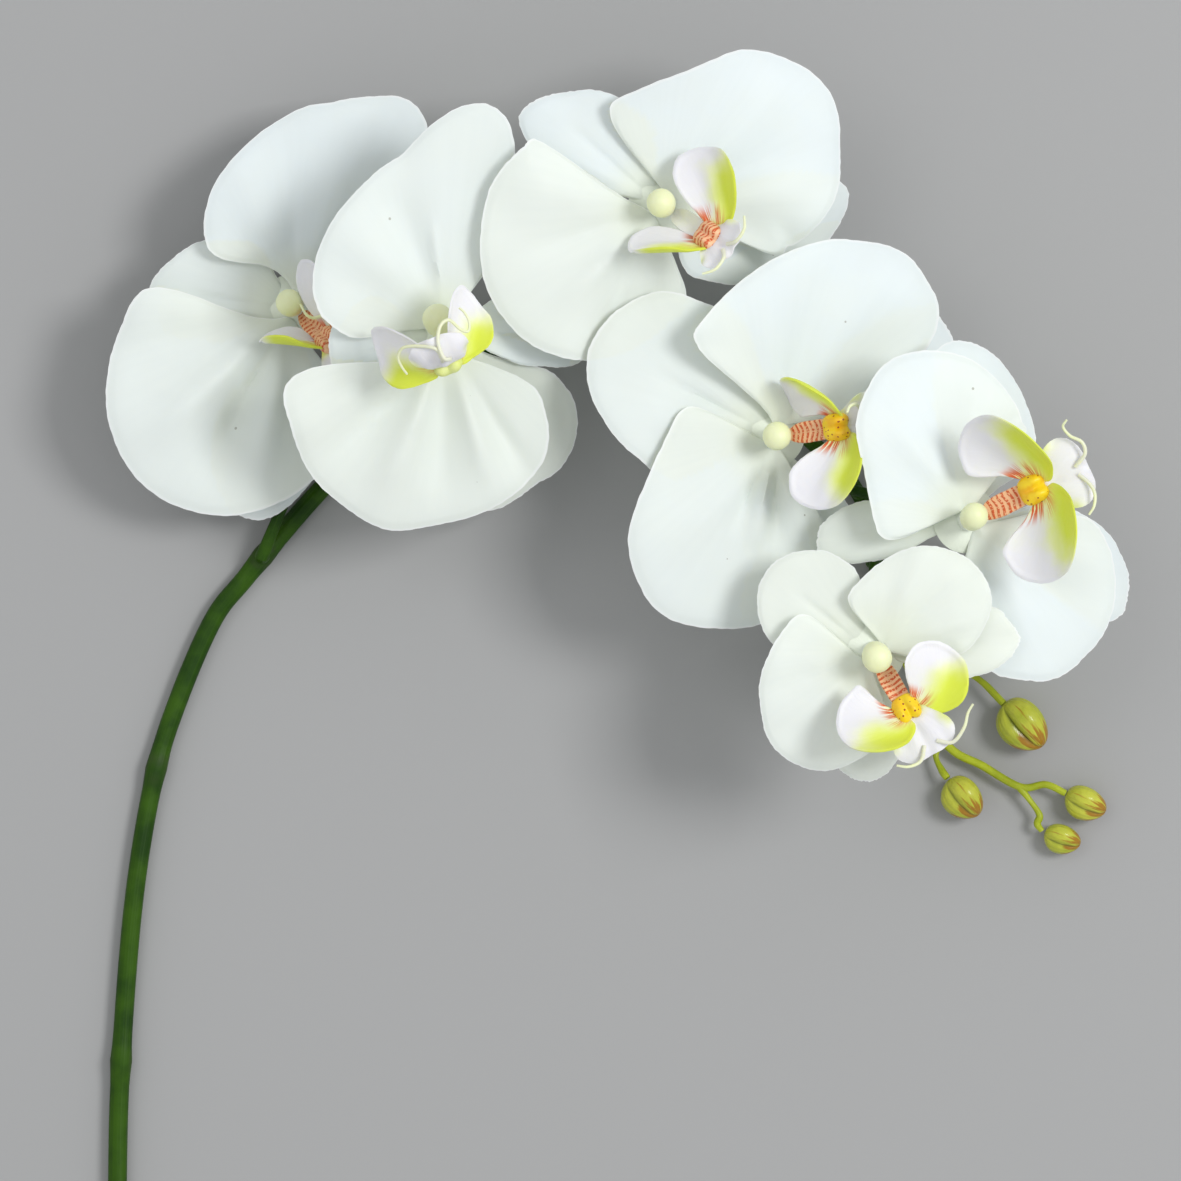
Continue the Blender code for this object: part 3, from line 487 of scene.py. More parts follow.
# The camera looks straight down from here
CAMERA_HEIGHT = 1.8
FRAME_WIDTH = PHOTO_SIDE * PIXEL * MM
FRAME_DEPTH = CAMERA_HEIGHT - PIXEL_LEVEL * MM
SENSOR = 36
FLOOR_SIDE = 6
FLOOR_LEVEL = -0.0002
# The place and the side of each light, and the point that both aim at
LIGHTS = {
    "key_light": ((1.1, 0.45, 1.65), 0.6),
    "fill_light": ((-0.9, 0.7, 1.9), 1.0),
}
LIGHT_TARGET = Vector((0, GROUP.y * MM, 0.03))
SKY_TINT = (0.965, 0.985, 1.0, 1)


# Forms


def ease(low, high, value):
    """0 up to low and 1 from high on, with a soft start and end."""
    share = np.clip((value - low) / (high - low), 0, 1)
    return share * share * (3 - 2 * share)


def hump(middle, width, value):
    """A bell that is 1 at the middle and about a third one width away."""
    return np.exp(-(((value - middle) / width) ** 2))


def disc_points(flat):
    """Moves points of the square from -1 to 1 onto the disc of radius 1."""
    x, y = flat[:, 0], flat[:, 1]
    return x * np.sqrt(1 - y * y / 2), y * np.sqrt(1 - x * x / 2)


def edge_at(turn, edge):
    """The reach of the outline in each direction, on a smooth line through its values."""
    place = turn % (2 * math.pi) / (2 * math.pi) * len(edge)
    start = np.floor(place).astype(int)
    t = place - start
    a, b, c, d = (np.take(edge, start + k, mode="wrap") for k in (-1, 0, 1, 2))
    return b + t * (c - a + t * (2 * a - 5 * b + 4 * c - d + t * (3 * b - a - 3 * c + d))) / 2


def nicks(turn, seed):
    """The small unevenness of a cut edge, for each direction out of the blade's middle."""
    draw = np.random.default_rng(seed)
    wave = np.zeros_like(turn)
    for count in (7, 13, 23, 41, 57):
        wave += np.sin(count * turn + draw.uniform(0, 6.28)) * draw.uniform(0.4, 1.0)
    return wave / 3


def blade_plan(turn, rim, shape, length, width, heel_skew, skew, edge):
    """How far along a blade, and how far to its side, each place of the disc comes."""
    power = shape.fullness
    swell = (np.abs(np.cos(turn)) ** power + np.abs(np.sin(turn)) ** power) ** (-1 / power)
    if edge:
        swell = swell * edge_at(turn, edge)
    across, along = rim * swell * np.sin(turn), rim * swell * np.cos(turn)
    along = CLAW_END * (np.logaddexp(0, (along + 1) / CLAW_END) - math.log(2)) - 1
    narrow = shape.claw + (1 - shape.claw) * ease(-1, shape.heel, along)
    taper = 1 - (1 - shape.tip) * ease(shape.toe, 1, along)
    side = across * narrow * taper * width / 2
    push = heel_skew + (skew - heel_skew) * ease(-0.85, 0.35, along)
    pushed = push * side**3 / (side**2 + SKEW_START**2)
    return (1 + along) / 2 + pushed / length, side


def blade_form(flat, shape, form, edge, relief, seed, nick, bow=0.0):
    """Places of a blade that leaves the origin along +X, and where they lie on the blade.

    The disc's outline is drawn first. Then come the cup and the relief, the curve to the side,
    the curl along the blade and its roll.
    """
    length, width, rise, roll, curl, cup, tip_cup, heel_skew, skew = form
    across, along = disc_points(flat)
    turn, rim = np.arctan2(across, along), np.hypot(across, along)
    share = side = 0
    for angle, weight in ROUNDING:
        near = turn + math.radians(angle)
        plan = blade_plan(near, rim, shape, length, width, heel_skew, skew, edge)
        share, side = share + weight * plan[0], side + weight * plan[1]
    half = width / 2
    frayed = 1 + nick / half * (nicks(turn, seed) - 0.6) * ease(0.9, 1, rim)
    share, side = 0.5 + (share - 0.5) * frayed, side * frayed
    fan = np.arctan2(side, share * length + FAN_HEEL) / FAN_ANGLE
    spot = {"fan": fan, "share": share, "rim": rim, "turn": turn, "side": side, "half": half}
    arc = np.radians(cup + (tip_cup - cup) * np.clip(share, 0, 1))
    radius = half / np.where(np.abs(arc) < 1e-3, 1e-3, arc)
    height = radius * (1 - np.cos(side / radius)) + relief(spot)
    side = radius * np.sin(side / radius)
    if bow:
        swing = bow * share
        share = np.sin(swing) / bow - side / length * np.sin(swing)
        side = length / bow * (1 - np.cos(swing)) + side * np.cos(swing)
    start = math.radians(rise)
    bend = math.radians(curl) if abs(curl) > 0.01 else 1e-4
    angle = start + bend * share
    x = length / bend * (np.sin(angle) - math.sin(start))
    z = length / bend * (math.cos(start) - np.cos(angle))
    tilt = math.radians(roll)
    y = side * math.cos(tilt) - height * math.sin(tilt)
    height = side * math.sin(tilt) + height * math.cos(tilt)
    places = np.column_stack([x - height * np.sin(angle), y, z + height * np.cos(angle)])
    return places, spot


def turn_matrix(azimuth):
    return Matrix.Rotation(math.radians(azimuth), 4, "Z")


def lean_matrix(angle, azimuth):
    """Tips what stands upright by the angle, towards the azimuth."""
    turn = turn_matrix(azimuth)
    return turn @ Matrix.Rotation(math.radians(angle), 4, "Y") @ turn.inverted()


def bloom_matrix(bloom):
    """The frame of the sepals and petals, with its origin inside the receptacle."""
    place = Matrix.Translation(GROUP + Vector((bloom.x, bloom.y, bloom.z)))
    return place @ lean_matrix(bloom.lean, bloom.lean_azimuth)


def lip_matrix(bloom):
    """The frame of the lip and the column. Its origin is the column's ball joint."""
    ball = bloom_matrix(bloom) @ Vector((0, 0, BALL_HEIGHT))
    lean = lean_matrix(bloom.lip_lean, bloom.lip_lean_azimuth)
    size = Matrix.Scale(bloom.size, 4)
    return Matrix.Translation(ball) @ lean @ turn_matrix(bloom.lip_azimuth) @ size


def moved(matrix, places):
    """The places, in millimetres, moved by the matrix and turned into metres."""
    rotation = np.array(matrix.to_3x3())
    return (places @ rotation.T + np.array(matrix.translation)) * MM


def smooth_route(points, steps):
    """Points on a smooth line through the route's own points."""
    points = [Vector(p) for p in points]
    ends = [2 * points[0] - points[1], *points, 2 * points[-1] - points[-2]]
    made = []
    for a, b, c, d in zip(ends, ends[1:], ends[2:], ends[3:]):
        for step in range(steps):
            t = step / steps
            line = 2 * b + (c - a) * t
            line += (2 * a - 5 * b + 4 * c - d) * t * t + (3 * b - a - 3 * c + d) * t**3
            made.append(line / 2)
    return made + [points[-1]]


# Modelling


def deselect_all():
    bpy.ops.object.select_all(action="DESELECT")


def select_only(item):
    deselect_all()
    item.select_set(True)
    bpy.context.view_layer.objects.active = item


def new_grid(name, columns, rows):
    """A flat grid from -1 to 1, with its own UV map, and its points."""
    deselect_all()
    bpy.ops.mesh.primitive_grid_add(x_subdivisions=columns, y_subdivisions=rows, size=2)
    made = bpy.context.object
    made.name = name
    made.data.name = name
    flat = np.empty(len(made.data.vertices) * 3, np.float32)
    made.data.vertices.foreach_get("co", flat)
    return made, flat.reshape(-1, 3).astype(float)


def set_places(item, places):
    item.data.vertices.foreach_set("co", places.astype(np.float32).ravel())
    item.data.update()


def set_uv(item, u, v):
    """Writes the UV map from a value for each vertex."""
    corner = np.empty(len(item.data.loops), np.int32)
    item.data.loops.foreach_get("vertex_index", corner)
    uv = np.column_stack([u[corner], v[corner]]).astype(np.float32)
    item.data.uv_layers[0].data.foreach_set("uv", uv.ravel())


def set_blade_uv(item, spot):
    """Maps a blade by its fan, so that streaks run out from the claw."""
    set_uv(item, 0.5 + spot["fan"] / FAN_MAP, np.clip(spot["share"], 0, 1))


def set_values(item, name, values):
    """Stores a number for each vertex, which a material reads by its name."""
    layer = item.data.attributes.new(name, "FLOAT", "POINT")
    layer.data.foreach_set("value", np.asarray(values, np.float32))


def give_wall(item, thickness, rim_share, rim):
    """Turns the sheet into a thin wall that gets thinner towards its margin."""
    group = item.vertex_groups.new(name="wall")
    weights = 1 - (1 - rim_share) * ease(0.75, 1, rim)
    for index, weight in enumerate(weights):
        group.add([index], float(weight), "REPLACE")
    wall = item.modifiers.new("wall", "SOLIDIFY")
    wall.thickness = thickness
    wall.offset = 0
    wall.vertex_group = "wall"
    bpy.context.view_layer.objects.active = item
    bpy.ops.object.modifier_apply(modifier=wall.name)
    item.vertex_groups.clear()


def shade(item, angle):
    select_only(item)
    bpy.ops.object.shade_smooth_by_angle(angle=math.radians(angle))


def outward(item):
    """Merges the seam, closes the ends and turns the faces outwards."""
    select_only(item)
    bpy.ops.object.mode_set(mode="EDIT")
    bpy.ops.mesh.select_all(action="SELECT")
    bpy.ops.mesh.remove_doubles(threshold=1e-6)
    bpy.ops.mesh.fill_holes(sides=0)
    bpy.ops.mesh.select_all(action="SELECT")
    bpy.ops.mesh.normals_make_consistent(inside=False)
    bpy.ops.object.mode_set(mode="OBJECT")


def tube(name, route, radii, sides, section=None):
    """A closed tube along the route. section changes the radius around and along it."""
    rings = len(route)
    made, flat = new_grid(name, sides, rings - 1)
    around = np.round((flat[:, 0] + 1) / 2 * sides).astype(int)
    ring = np.round((flat[:, 1] + 1) / 2 * (rings - 1)).astype(int)
    line = np.array([tuple(p) for p in route])
    ahead = np.gradient(line, axis=0)
    ahead /= np.linalg.norm(ahead, axis=1)[:, None]
    up = np.array((0, 0, 1.0)) if abs(ahead[0, 2]) < 0.9 else np.array((0, 1.0, 0))
    ups = []
    for way in ahead:
        up = up - way * (up @ way)
        up /= np.linalg.norm(up)
        ups.append(up)
    ups = np.array(ups)
    lefts = np.cross(ahead, ups)
    turn = around * (2 * math.pi / sides)
    radius = np.array(radii, float)[ring]
    share = ring / (rings - 1)
    if section:
        radius = radius * section(turn, share)
    out = ups[ring] * np.cos(turn)[:, None] + lefts[ring] * np.sin(turn)[:, None]
    set_places(made, (line[ring] + out * radius[:, None]) * MM)
    set_uv(made, around / sides, share)
    set_values(made, "along", share)
    outward(made)
    return made


def ball(name, segments, rings, form):
    """A closed round piece. form places each point of the unit sphere, in millimetres."""
    deselect_all()
    bpy.ops.mesh.primitive_uv_sphere_add(segments=segments, ring_count=rings, radius=1)
    made = bpy.context.object
    made.name = name
    made.data.name = name
    unit = np.empty(len(made.data.vertices) * 3, np.float32)
    made.data.vertices.foreach_get("co", unit)
    unit = unit.reshape(-1, 3).astype(float)
    set_places(made, form(unit))
    outward(made)
    return made


def joined(name, pieces):
    """Makes one piece of several."""
    deselect_all()
    for piece in pieces:
        piece.select_set(True)
    bpy.context.view_layer.objects.active = pieces[0]
    bpy.ops.object.join()
    made = bpy.context.object
    made.name = name
    made.data.name = name
    return made


def finish_piece(item, node):
    """Puts the piece on the stem's one body, in place of its plain node."""
    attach(item, "root")
    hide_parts(node)


# Finishes


def new_material(name):
    made = bpy.data.materials.new(name)
    made.use_nodes = True
    tree = made.node_tree
    return made, tree, tree.nodes["Principled BSDF"]


def add_node(tree, kind, **values):
    made = tree.nodes.new(kind)
    for name, value in values.items():
        setattr(made, name, value)
    return made


def math_node(tree, operation, *inputs):
    made = add_node(tree, "ShaderNodeMath", operation=operation)
    for socket, value in zip(made.inputs, inputs):
        link_or_set(tree, socket, value)
    return made.outputs[0]


def link_or_set(tree, socket, value):
    if isinstance(value, bpy.types.NodeSocket):
        tree.links.new(value, socket)
    else:
        socket.default_value = value


def mix_colours(tree, factor, first, second):
    made = add_node(tree, "ShaderNodeMix", data_type="RGBA")
    link_or_set(tree, made.inputs[0], factor)
    link_or_set(tree, made.inputs[6], first)
    link_or_set(tree, made.inputs[7], second)
    return made.outputs[2]


def ramp_value(tree, value, low, high, most=1.0):
    """0 up to low and the most from high on, with a soft start and end."""
    made = add_node(tree, "ShaderNodeMapRange", interpolation_type="SMOOTHSTEP")
    link_or_set(tree, made.inputs["Value"], value)
    made.inputs["From Min"].default_value = low
    made.inputs["From Max"].default_value = high
    made.inputs["To Max"].default_value = most
    return made.outputs[0]


def stored_value(tree, name):
    return add_node(tree, "ShaderNodeAttribute", attribute_name=name).outputs["Fac"]


def new_group(name, inputs, outputs):
    """A shader node group with its sockets, and its own input and output nodes."""
    tree = bpy.data.node_groups.new(name, "ShaderNodeTree")
    for socket, kind, default in inputs:
        made = tree.interface.new_socket(name=socket, in_out="INPUT", socket_type=kind)
        made.default_value = default
    for socket, kind in outputs:
        tree.interface.new_socket(name=socket, in_out="OUTPUT", socket_type=kind)
    return tree, tree.nodes.new("NodeGroupInput"), tree.nodes.new("NodeGroupOutput")


def use_group(tree, name, **values):
    made = add_node(tree, "ShaderNodeGroup", node_tree=bpy.data.node_groups[name])
    for socket, value in values.items():
        link_or_set(tree, made.inputs[socket], value)
    return made


def streaks_group():
    """Fine lines that fan out along a blade or a bud, read from its UV map."""
    inputs = [
        ("Across", "NodeSocketFloat", 60.0),
        ("Along", "NodeSocketFloat", 3.0),
        ("Depth", "NodeSocketFloat", 0.3),
    ]
    outputs = [("Lines", "NodeSocketFloat"), ("Normal", "NodeSocketVector")]
    tree, given, result = new_group("Streaks", inputs, outputs)
    place = tree.nodes.new("ShaderNodeUVMap")
    parts = tree.nodes.new("ShaderNodeSeparateXYZ")
    tree.links.new(place.outputs[0], parts.inputs[0])
    joint = tree.nodes.new("ShaderNodeCombineXYZ")
    across = math_node(tree, "MULTIPLY", parts.outputs[0], given.outputs["Across"])
    along = math_node(tree, "MULTIPLY", parts.outputs[1], given.outputs["Along"])
    tree.links.new(across, joint.inputs[0])
    tree.links.new(along, joint.inputs[1])
    noise = add_node(tree, "ShaderNodeTexNoise", noise_dimensions="2D")
    noise.inputs["Scale"].default_value = 1.0
    noise.inputs["Detail"].default_value = 3.0
    tree.links.new(joint.outputs[0], noise.inputs["Vector"])
    bump = tree.nodes.new("ShaderNodeBump")
    bump.inputs["Distance"].default_value = 0.0004
    tree.links.new(given.outputs["Depth"], bump.inputs["Strength"])
    tree.links.new(noise.outputs[0], bump.inputs["Height"])
    tree.links.new(noise.outputs[0], result.inputs["Lines"])
    tree.links.new(bump.outputs[0], result.inputs["Normal"])


def mottle_group():
    """Soft uneven patches in the piece's own space, with a fine grain on top."""
    inputs = [("Size", "NodeSocketFloat", 120.0), ("Grain", "NodeSocketFloat", 900.0)]
    outputs = [("Patches", "NodeSocketFloat"), ("Fine", "NodeSocketFloat")]
    tree, given, result = new_group("Mottle", inputs, outputs)
    place = tree.nodes.new("ShaderNodeTexCoord")
    for size, socket, detail in (("Size", "Patches", 4.0), ("Grain", "Fine", 2.0)):
        noise = tree.nodes.new("ShaderNodeTexNoise")
        noise.inputs["Detail"].default_value = detail
        tree.links.new(place.outputs["Object"], noise.inputs["Vector"])
        tree.links.new(given.outputs[size], noise.inputs["Scale"])
        tree.links.new(noise.outputs[0], result.inputs[socket])


def specks_group():
    """A few small dark marks, far apart."""
    inputs = [("Size", "NodeSocketFloat", 160.0), ("Share", "NodeSocketFloat", 0.05)]
    tree, given, result = new_group("Specks", inputs, [("Marks", "NodeSocketFloat")])
    place = tree.nodes.new("ShaderNodeTexCoord")
    spots = add_node(tree, "ShaderNodeTexVoronoi", feature="F1")
    tree.links.new(place.outputs["Object"], spots.inputs["Vector"])
    tree.links.new(given.outputs["Size"], spots.inputs["Scale"])
    near = math_node(tree, "LESS_THAN", spots.outputs["Distance"], given.outputs["Share"])
    parts = tree.nodes.new("ShaderNodeSeparateColor")
    tree.links.new(spots.outputs["Color"], parts.inputs[0])
    few = math_node(tree, "GREATER_THAN", parts.outputs[0], 0.5)
    marks = math_node(tree, "MULTIPLY", near, few)
    tree.links.new(marks, result.inputs["Marks"])


def build_groups():
    if "Streaks" not in bpy.data.node_groups:
        streaks_group()
        mottle_group()
        specks_group()


def set_rough(tree, shader, mottle, spread, least):
    """A roughness that varies with the fine grain."""
    rough = math_node(tree, "MULTIPLY_ADD", mottle.outputs["Fine"], spread, least)
    tree.links.new(rough, shader.inputs["Roughness"])


def set_bump(tree, shader, height, strength):
    bump = tree.nodes.new("ShaderNodeBump")
    bump.inputs["Strength"].default_value = strength
    bump.inputs["Distance"].default_value = 0.0003
    tree.links.new(height, bump.inputs["Height"])
    tree.links.new(bump.outputs[0], shader.inputs["Normal"])


def set_glow(shader, weight, depth, tint):
    """Light that spreads under a thin waxy skin."""
    shader.inputs["Subsurface Weight"].default_value = weight
    shader.inputs["Subsurface Radius"].default_value = tint
    shader.inputs["Subsurface Scale"].default_value = depth


def petal_material(settings):
    """Thin waxy white, with a creamy painted shade where a blade lies behind it or in front of it,
    and greenish near the claw.
    """
    made, tree, shader = new_material("petal_white")
    streaks = use_group(tree, "Streaks", Across=46.0, Along=1.6, Depth=0.05)
    mottle = use_group(tree, "Mottle", Size=55.0, Grain=1400.0)
    specks = use_group(tree, "Specks", Size=90.0, Share=0.035)
    backed = stored_value(tree, "backed")
    heart = stored_value(tree, "heart")
    margin = stored_value(tree, "margin")
    # Painted shade: the white turns cream where a blade lies behind and holds back the light let
    # through, or lies in front and shades it
    colour = mix_colours(tree, backed, settings.lit_white, settings.cream_and_shade)
    colour = mix_colours(tree, heart, colour, settings.heart)
    patches = ramp_value(tree, mottle.outputs["Patches"], 0.35, 0.75, 0.25)
    colour = mix_colours(tree, patches, colour, settings.cream_and_shade)
    veins = ramp_value(tree, streaks.outputs["Lines"], 0.35, 0.7, 0.035)
    colour = mix_colours(tree, veins, colour, (0.62, 0.68, 0.66, 1))
    colour = mix_colours(tree, margin, colour, (0.97, 0.98, 0.97, 1))
    marks = math_node(tree, "MULTIPLY", specks.outputs["Marks"], 0.55)
    colour = mix_colours(tree, marks, colour, (0.22, 0.19, 0.13, 1))
    tree.links.new(colour, shader.inputs["Base Color"])
    set_rough(tree, shader, mottle, 0.16, 0.46)
    tree.links.new(streaks.outputs["Normal"], shader.inputs["Normal"])
    shader.inputs["Specular IOR Level"].default_value = 0.35
    shader.inputs["Sheen Weight"].default_value = 0.08
    set_glow(shader, settings.glow, 0.003, (1.0, 0.9, 0.75))
    return made


def lobe_material(settings):
    """White lobes with a lime rim and foot, and red stripes deep in the throat."""
    made, tree, shader = new_material("lip_white")
    streaks = use_group(tree, "Streaks", Across=40.0, Along=2.0, Depth=0.25)
    mottle = use_group(tree, "Mottle", Size=130.0, Grain=1500.0)
    green = stored_value(tree, "green")
    blush = stored_value(tree, "blush")
    uneven = math_node(tree, "MULTIPLY_ADD", mottle.outputs["Patches"], 0.6, -0.3)
    green = math_node(tree, "ADD", green, uneven)
    lime = ramp_value(tree, green, 0.3, 0.95)
    pale = ramp_value(tree, green, 0.05, 0.6)
    colour = mix_colours(tree, pale, settings.white, (0.85, 0.89, 0.50, 1))
    colour = mix_colours(tree, lime, colour, settings.lime)
    lines = ramp_value(tree, streaks.outputs["Lines"], 0.46, 0.56)
    stripes = math_node(tree, "MULTIPLY", lines, blush)
    colour = mix_colours(tree, stripes, colour, settings.stripe)
    tree.links.new(colour, shader.inputs["Base Color"])
    set_rough(tree, shader, mottle, 0.15, 0.42)
    tree.links.new(streaks.outputs["Normal"], shader.inputs["Normal"])
    shader.inputs["Specular IOR Level"].default_value = 0.4
    set_glow(shader, 0.3, 0.002, (1.0, 0.9, 0.7))
    return made


def tongue_material(settings):
    """Wavy broken bars across the tongue, in two rows."""
    made, tree, shader = new_material("lip_tongue")
    place = tree.nodes.new("ShaderNodeUVMap")
    parts = tree.nodes.new("ShaderNodeSeparateXYZ")
    tree.links.new(place.outputs[0], parts.inputs[0])
    mottle = use_group(tree, "Mottle", Size=260.0, Grain=1800.0)
    wander = math_node(tree, "MULTIPLY_ADD", mottle.outputs["Patches"], 6.0, -3.0)
    along = math_node(tree, "MULTIPLY_ADD", parts.outputs[1], 66.0, wander)
    wave = math_node(tree, "SINE", along)
    bars = ramp_value(tree, wave, -0.25, 0.45)
    middle = math_node(tree, "ABSOLUTE", math_node(tree, "ADD", parts.outputs[0], -0.5))
    rows = ramp_value(tree, middle, 0.0, 0.04)
    bars = math_node(tree, "MULTIPLY", bars, rows)
    broken = ramp_value(tree, mottle.outputs["Fine"], 0.36, 0.5)
    bars = math_node(tree, "MULTIPLY", bars, broken)
    colour = mix_colours(tree, bars, settings.tongue, settings.stripe)
    tree.links.new(colour, shader.inputs["Base Color"])
    shader.inputs["Roughness"].default_value = 0.45
    set_bump(tree, shader, bars, 0.5)
    set_glow(shader, 0.15, 0.002, (1.0, 0.7, 0.4))
    return made


def callus_material(settings):
    made, tree, shader = new_material("lip_callus")
    mottle = use_group(tree, "Mottle", Size=240.0, Grain=1500.0)
    specks = use_group(tree, "Specks", Size=760.0, Share=0.22)
    warm = ramp_value(tree, mottle.outputs["Patches"], 0.4, 0.7)
    colour = mix_colours(tree, warm, settings.callus, (0.86, 0.46, 0.01, 1))
    colour = mix_colours(tree, specks.outputs["Marks"], colour, (0.35, 0.06, 0.02, 1))
    tree.links.new(colour, shader.inputs["Base Color"])
    set_rough(tree, shader, mottle, 0.2, 0.3)
    set_bump(tree, shader, mottle.outputs["Patches"], 0.4)
    return made


def column_material(settings):
    made, tree, shader = new_material("column_cream")
    mottle = use_group(tree, "Mottle", Size=160.0, Grain=1500.0)
    foot = stored_value(tree, "along")
    warm = ramp_value(tree, foot, 0.15, 0.6)
    colour = mix_colours(tree, warm, (0.80, 0.80, 0.66, 1), settings.column)
    patches = math_node(tree, "MULTIPLY", mottle.outputs["Patches"], 0.35)
    colour = mix_colours(tree, patches, colour, (0.86, 0.87, 0.62, 1))
    tree.links.new(colour, shader.inputs["Base Color"])
    set_rough(tree, shader, mottle, 0.15, 0.38)
    set_glow(shader, 0.3, 0.002, (1.0, 0.9, 0.5))
    return made


def green_material(name, dark, light, streak_depth):
    """The skin of the stem and its stalks: uneven green with fine lines along it."""
    made, tree, shader = new_material(name)
    streaks = use_group(tree, "Streaks", Across=26.0, Along=7.0, Depth=streak_depth)
    mottle = use_group(tree, "Mottle", Size=95.0, Grain=700.0)
    patches = ramp_value(tree, mottle.outputs["Patches"], 0.32, 0.68)
    colour = mix_colours(tree, patches, dark, light)
    lines = ramp_value(tree, streaks.outputs["Lines"], 0.4, 0.75, 0.35)
    colour = mix_colours(tree, lines, colour, light)
    tree.links.new(streaks.outputs["Normal"], shader.inputs["Normal"])
    shader.inputs["Specular IOR Level"].default_value = 0.16
    return made, tree, shader, colour, mottle


def stem_material(settings):
    made, tree, shader, colour, mottle = green_material(
        "stem_green", settings.dark, settings.light, 0.5
    )
    scar = stored_value(tree, "scar")
    colour = mix_colours(tree, scar, colour, (0.035, 0.06, 0.015, 1))
    tree.links.new(colour, shader.inputs["Base Color"])
    set_rough(tree, shader, mottle, 0.2, 0.32)
    return made


def stalk_material(settings):
    made, tree, shader, colour, mottle = green_material(
        "stalk_green", settings.dark, settings.light, 0.4
    )
    head = stored_value(tree, "along")
    pale = ramp_value(tree, head, 0.62, 0.86)
    colour = mix_colours(tree, pale, colour, (0.82, 0.87, 0.76, 1))
    tree.links.new(colour, shader.inputs["Base Color"])
    set_rough(tree, shader, mottle, 0.2, 0.35)
    return made


def tip_material(settings):
    made, tree, shader, colour, mottle = green_material(
        "tip_green", (0.30, 0.36, 0.015, 1), settings.tip, 0.5
    )
    brown = ramp_value(tree, mottle.outputs["Fine"], 0.62, 0.72, 0.5)
    colour = mix_colours(tree, brown, colour, (0.36, 0.22, 0.02, 1))
    tree.links.new(colour, shader.inputs["Base Color"])
    set_rough(tree, shader, mottle, 0.2, 0.25)
    shader.inputs["Coat Weight"].default_value = 0.15
    shader.inputs["Coat Roughness"].default_value = 0.2
    return made


def bud_material(settings):
    """Olive skin with rusty streaks towards the point and dark creases."""
    made, tree, shader, colour, mottle = green_material(
        "bud_green", settings.olive, (0.56, 0.57, 0.06, 1), 0.9
    )
    streaks = use_group(tree, "Streaks", Across=34.0, Along=2.2, Depth=0.4)
    near = ramp_value(tree, stored_value(tree, "along"), 0.35, 0.95)
    lines = math_node(tree, "MULTIPLY_ADD", near, 0.3, streaks.outputs["Lines"])
    rust = ramp_value(tree, lines, 0.62, 0.78, 0.85)
    colour = mix_colours(tree, rust, colour, settings.rust)
    crease = stored_value(tree, "crease")
    colour = mix_colours(tree, crease, colour, (0.07, 0.09, 0.015, 1))
    tree.links.new(colour, shader.inputs["Base Color"])
    set_rough(tree, shader, mottle, 0.2, 0.23)
    shader.inputs["Coat Weight"].default_value = 0.35
    shader.inputs["Coat Roughness"].default_value = 0.15
    return made


# Settings


def colour_property(name, description, default):
    return FloatVectorProperty(
        name=name, description=description, default=default, subtype="COLOR", size=4, min=0, max=1
    )


class PetalSettings(bpy.types.PropertyGroup):
    cells: IntProperty(
        name="Cells", description="Cells along a side of a petal's grid", default=64, min=8, max=80
    )
    thickness: FloatProperty(
        name="Thickness", description="Thickness of a petal", default=0.0005, unit="LENGTH"
    )
    nick: FloatProperty(
        name="Nicks", description="Unevenness of the cut edge, in millimetres", default=0.18
    )
    glow: FloatProperty(
        name="Glow", description="Light that spreads inside a petal", default=0.35, min=0, max=1
    )
    # Painted light: the lit white stands in for light let through a petal from behind, and the
    # cream is also its painted shade
    lit_white: colour_property("Cool white", "Where nothing lies behind", (0.815, 0.89, 0.885, 1))
    cream_and_shade: colour_property("Cream", "Creamy blades and backed ones", (0.84, 0.885, 0.78, 1))
    heart: colour_property("Heart", "Near the claw", (0.80, 0.85, 0.68, 1))


class LipSettings(bpy.types.PropertyGroup):
    cells: IntProperty(
        name="Cells", description="Cells along a side of a lobe's grid", default=30, min=8, max=60
    )
    thickness: FloatProperty(
        name="Thickness", description="Thickness of a lobe", default=0.0007, unit="LENGTH"
    )
    white: colour_property("White", "Tips of the lobes", (0.84, 0.825, 0.865, 1))
    lime: colour_property("Lime", "Rims and foot of the lobes", (0.72, 0.82, 0.07, 1))
    tongue: colour_property("Tongue", "Ground of the striped tongue", (0.93, 0.54, 0.31, 1))
    stripe: colour_property("Stripes", "Bars on the tongue and the lobes", (0.68, 0.12, 0.03, 1))
    callus: colour_property("Callus", "The golden callus", (0.93, 0.66, 0.015, 1))
    column: colour_property("Column", "The column and its cap", (0.84, 0.88, 0.54, 1))


class StemSettings(bpy.types.PropertyGroup):
    sides: IntProperty(
        name="Sides", description="Sides of the stem", default=28, min=8, max=64
    )
    dark: colour_property("Dark green", "Shaded skin of the stem", (0.010, 0.042, 0.001, 1))
    light: colour_property("Light green", "Light patches of the stem", (0.034, 0.096, 0.002, 1))
    tip: colour_property("Tip", "The pale end of the stem", (0.47, 0.54, 0.03, 1))
    olive: colour_property("Buds", "Skin of the buds", (0.38, 0.43, 0.035, 1))
    rust: colour_property("Rust", "Streaks towards a bud's tip", (0.36, 0.13, 0.01, 1))


class StageSettings(bpy.types.PropertyGroup):
    floor: colour_property("Floor", "The plain floor", (0.38, 0.38, 0.38, 1))
    key_power: FloatProperty(
        name="Key", description="Power of the large light", default=19.0, unit="POWER"
    )
    fill_power: FloatProperty(
        name="Fill", description="Power of the light on the other side", default=4.0, unit="POWER"
    )
    sky: FloatProperty(name="Sky", description="Strength of the even light", default=0.64)


# Pieces


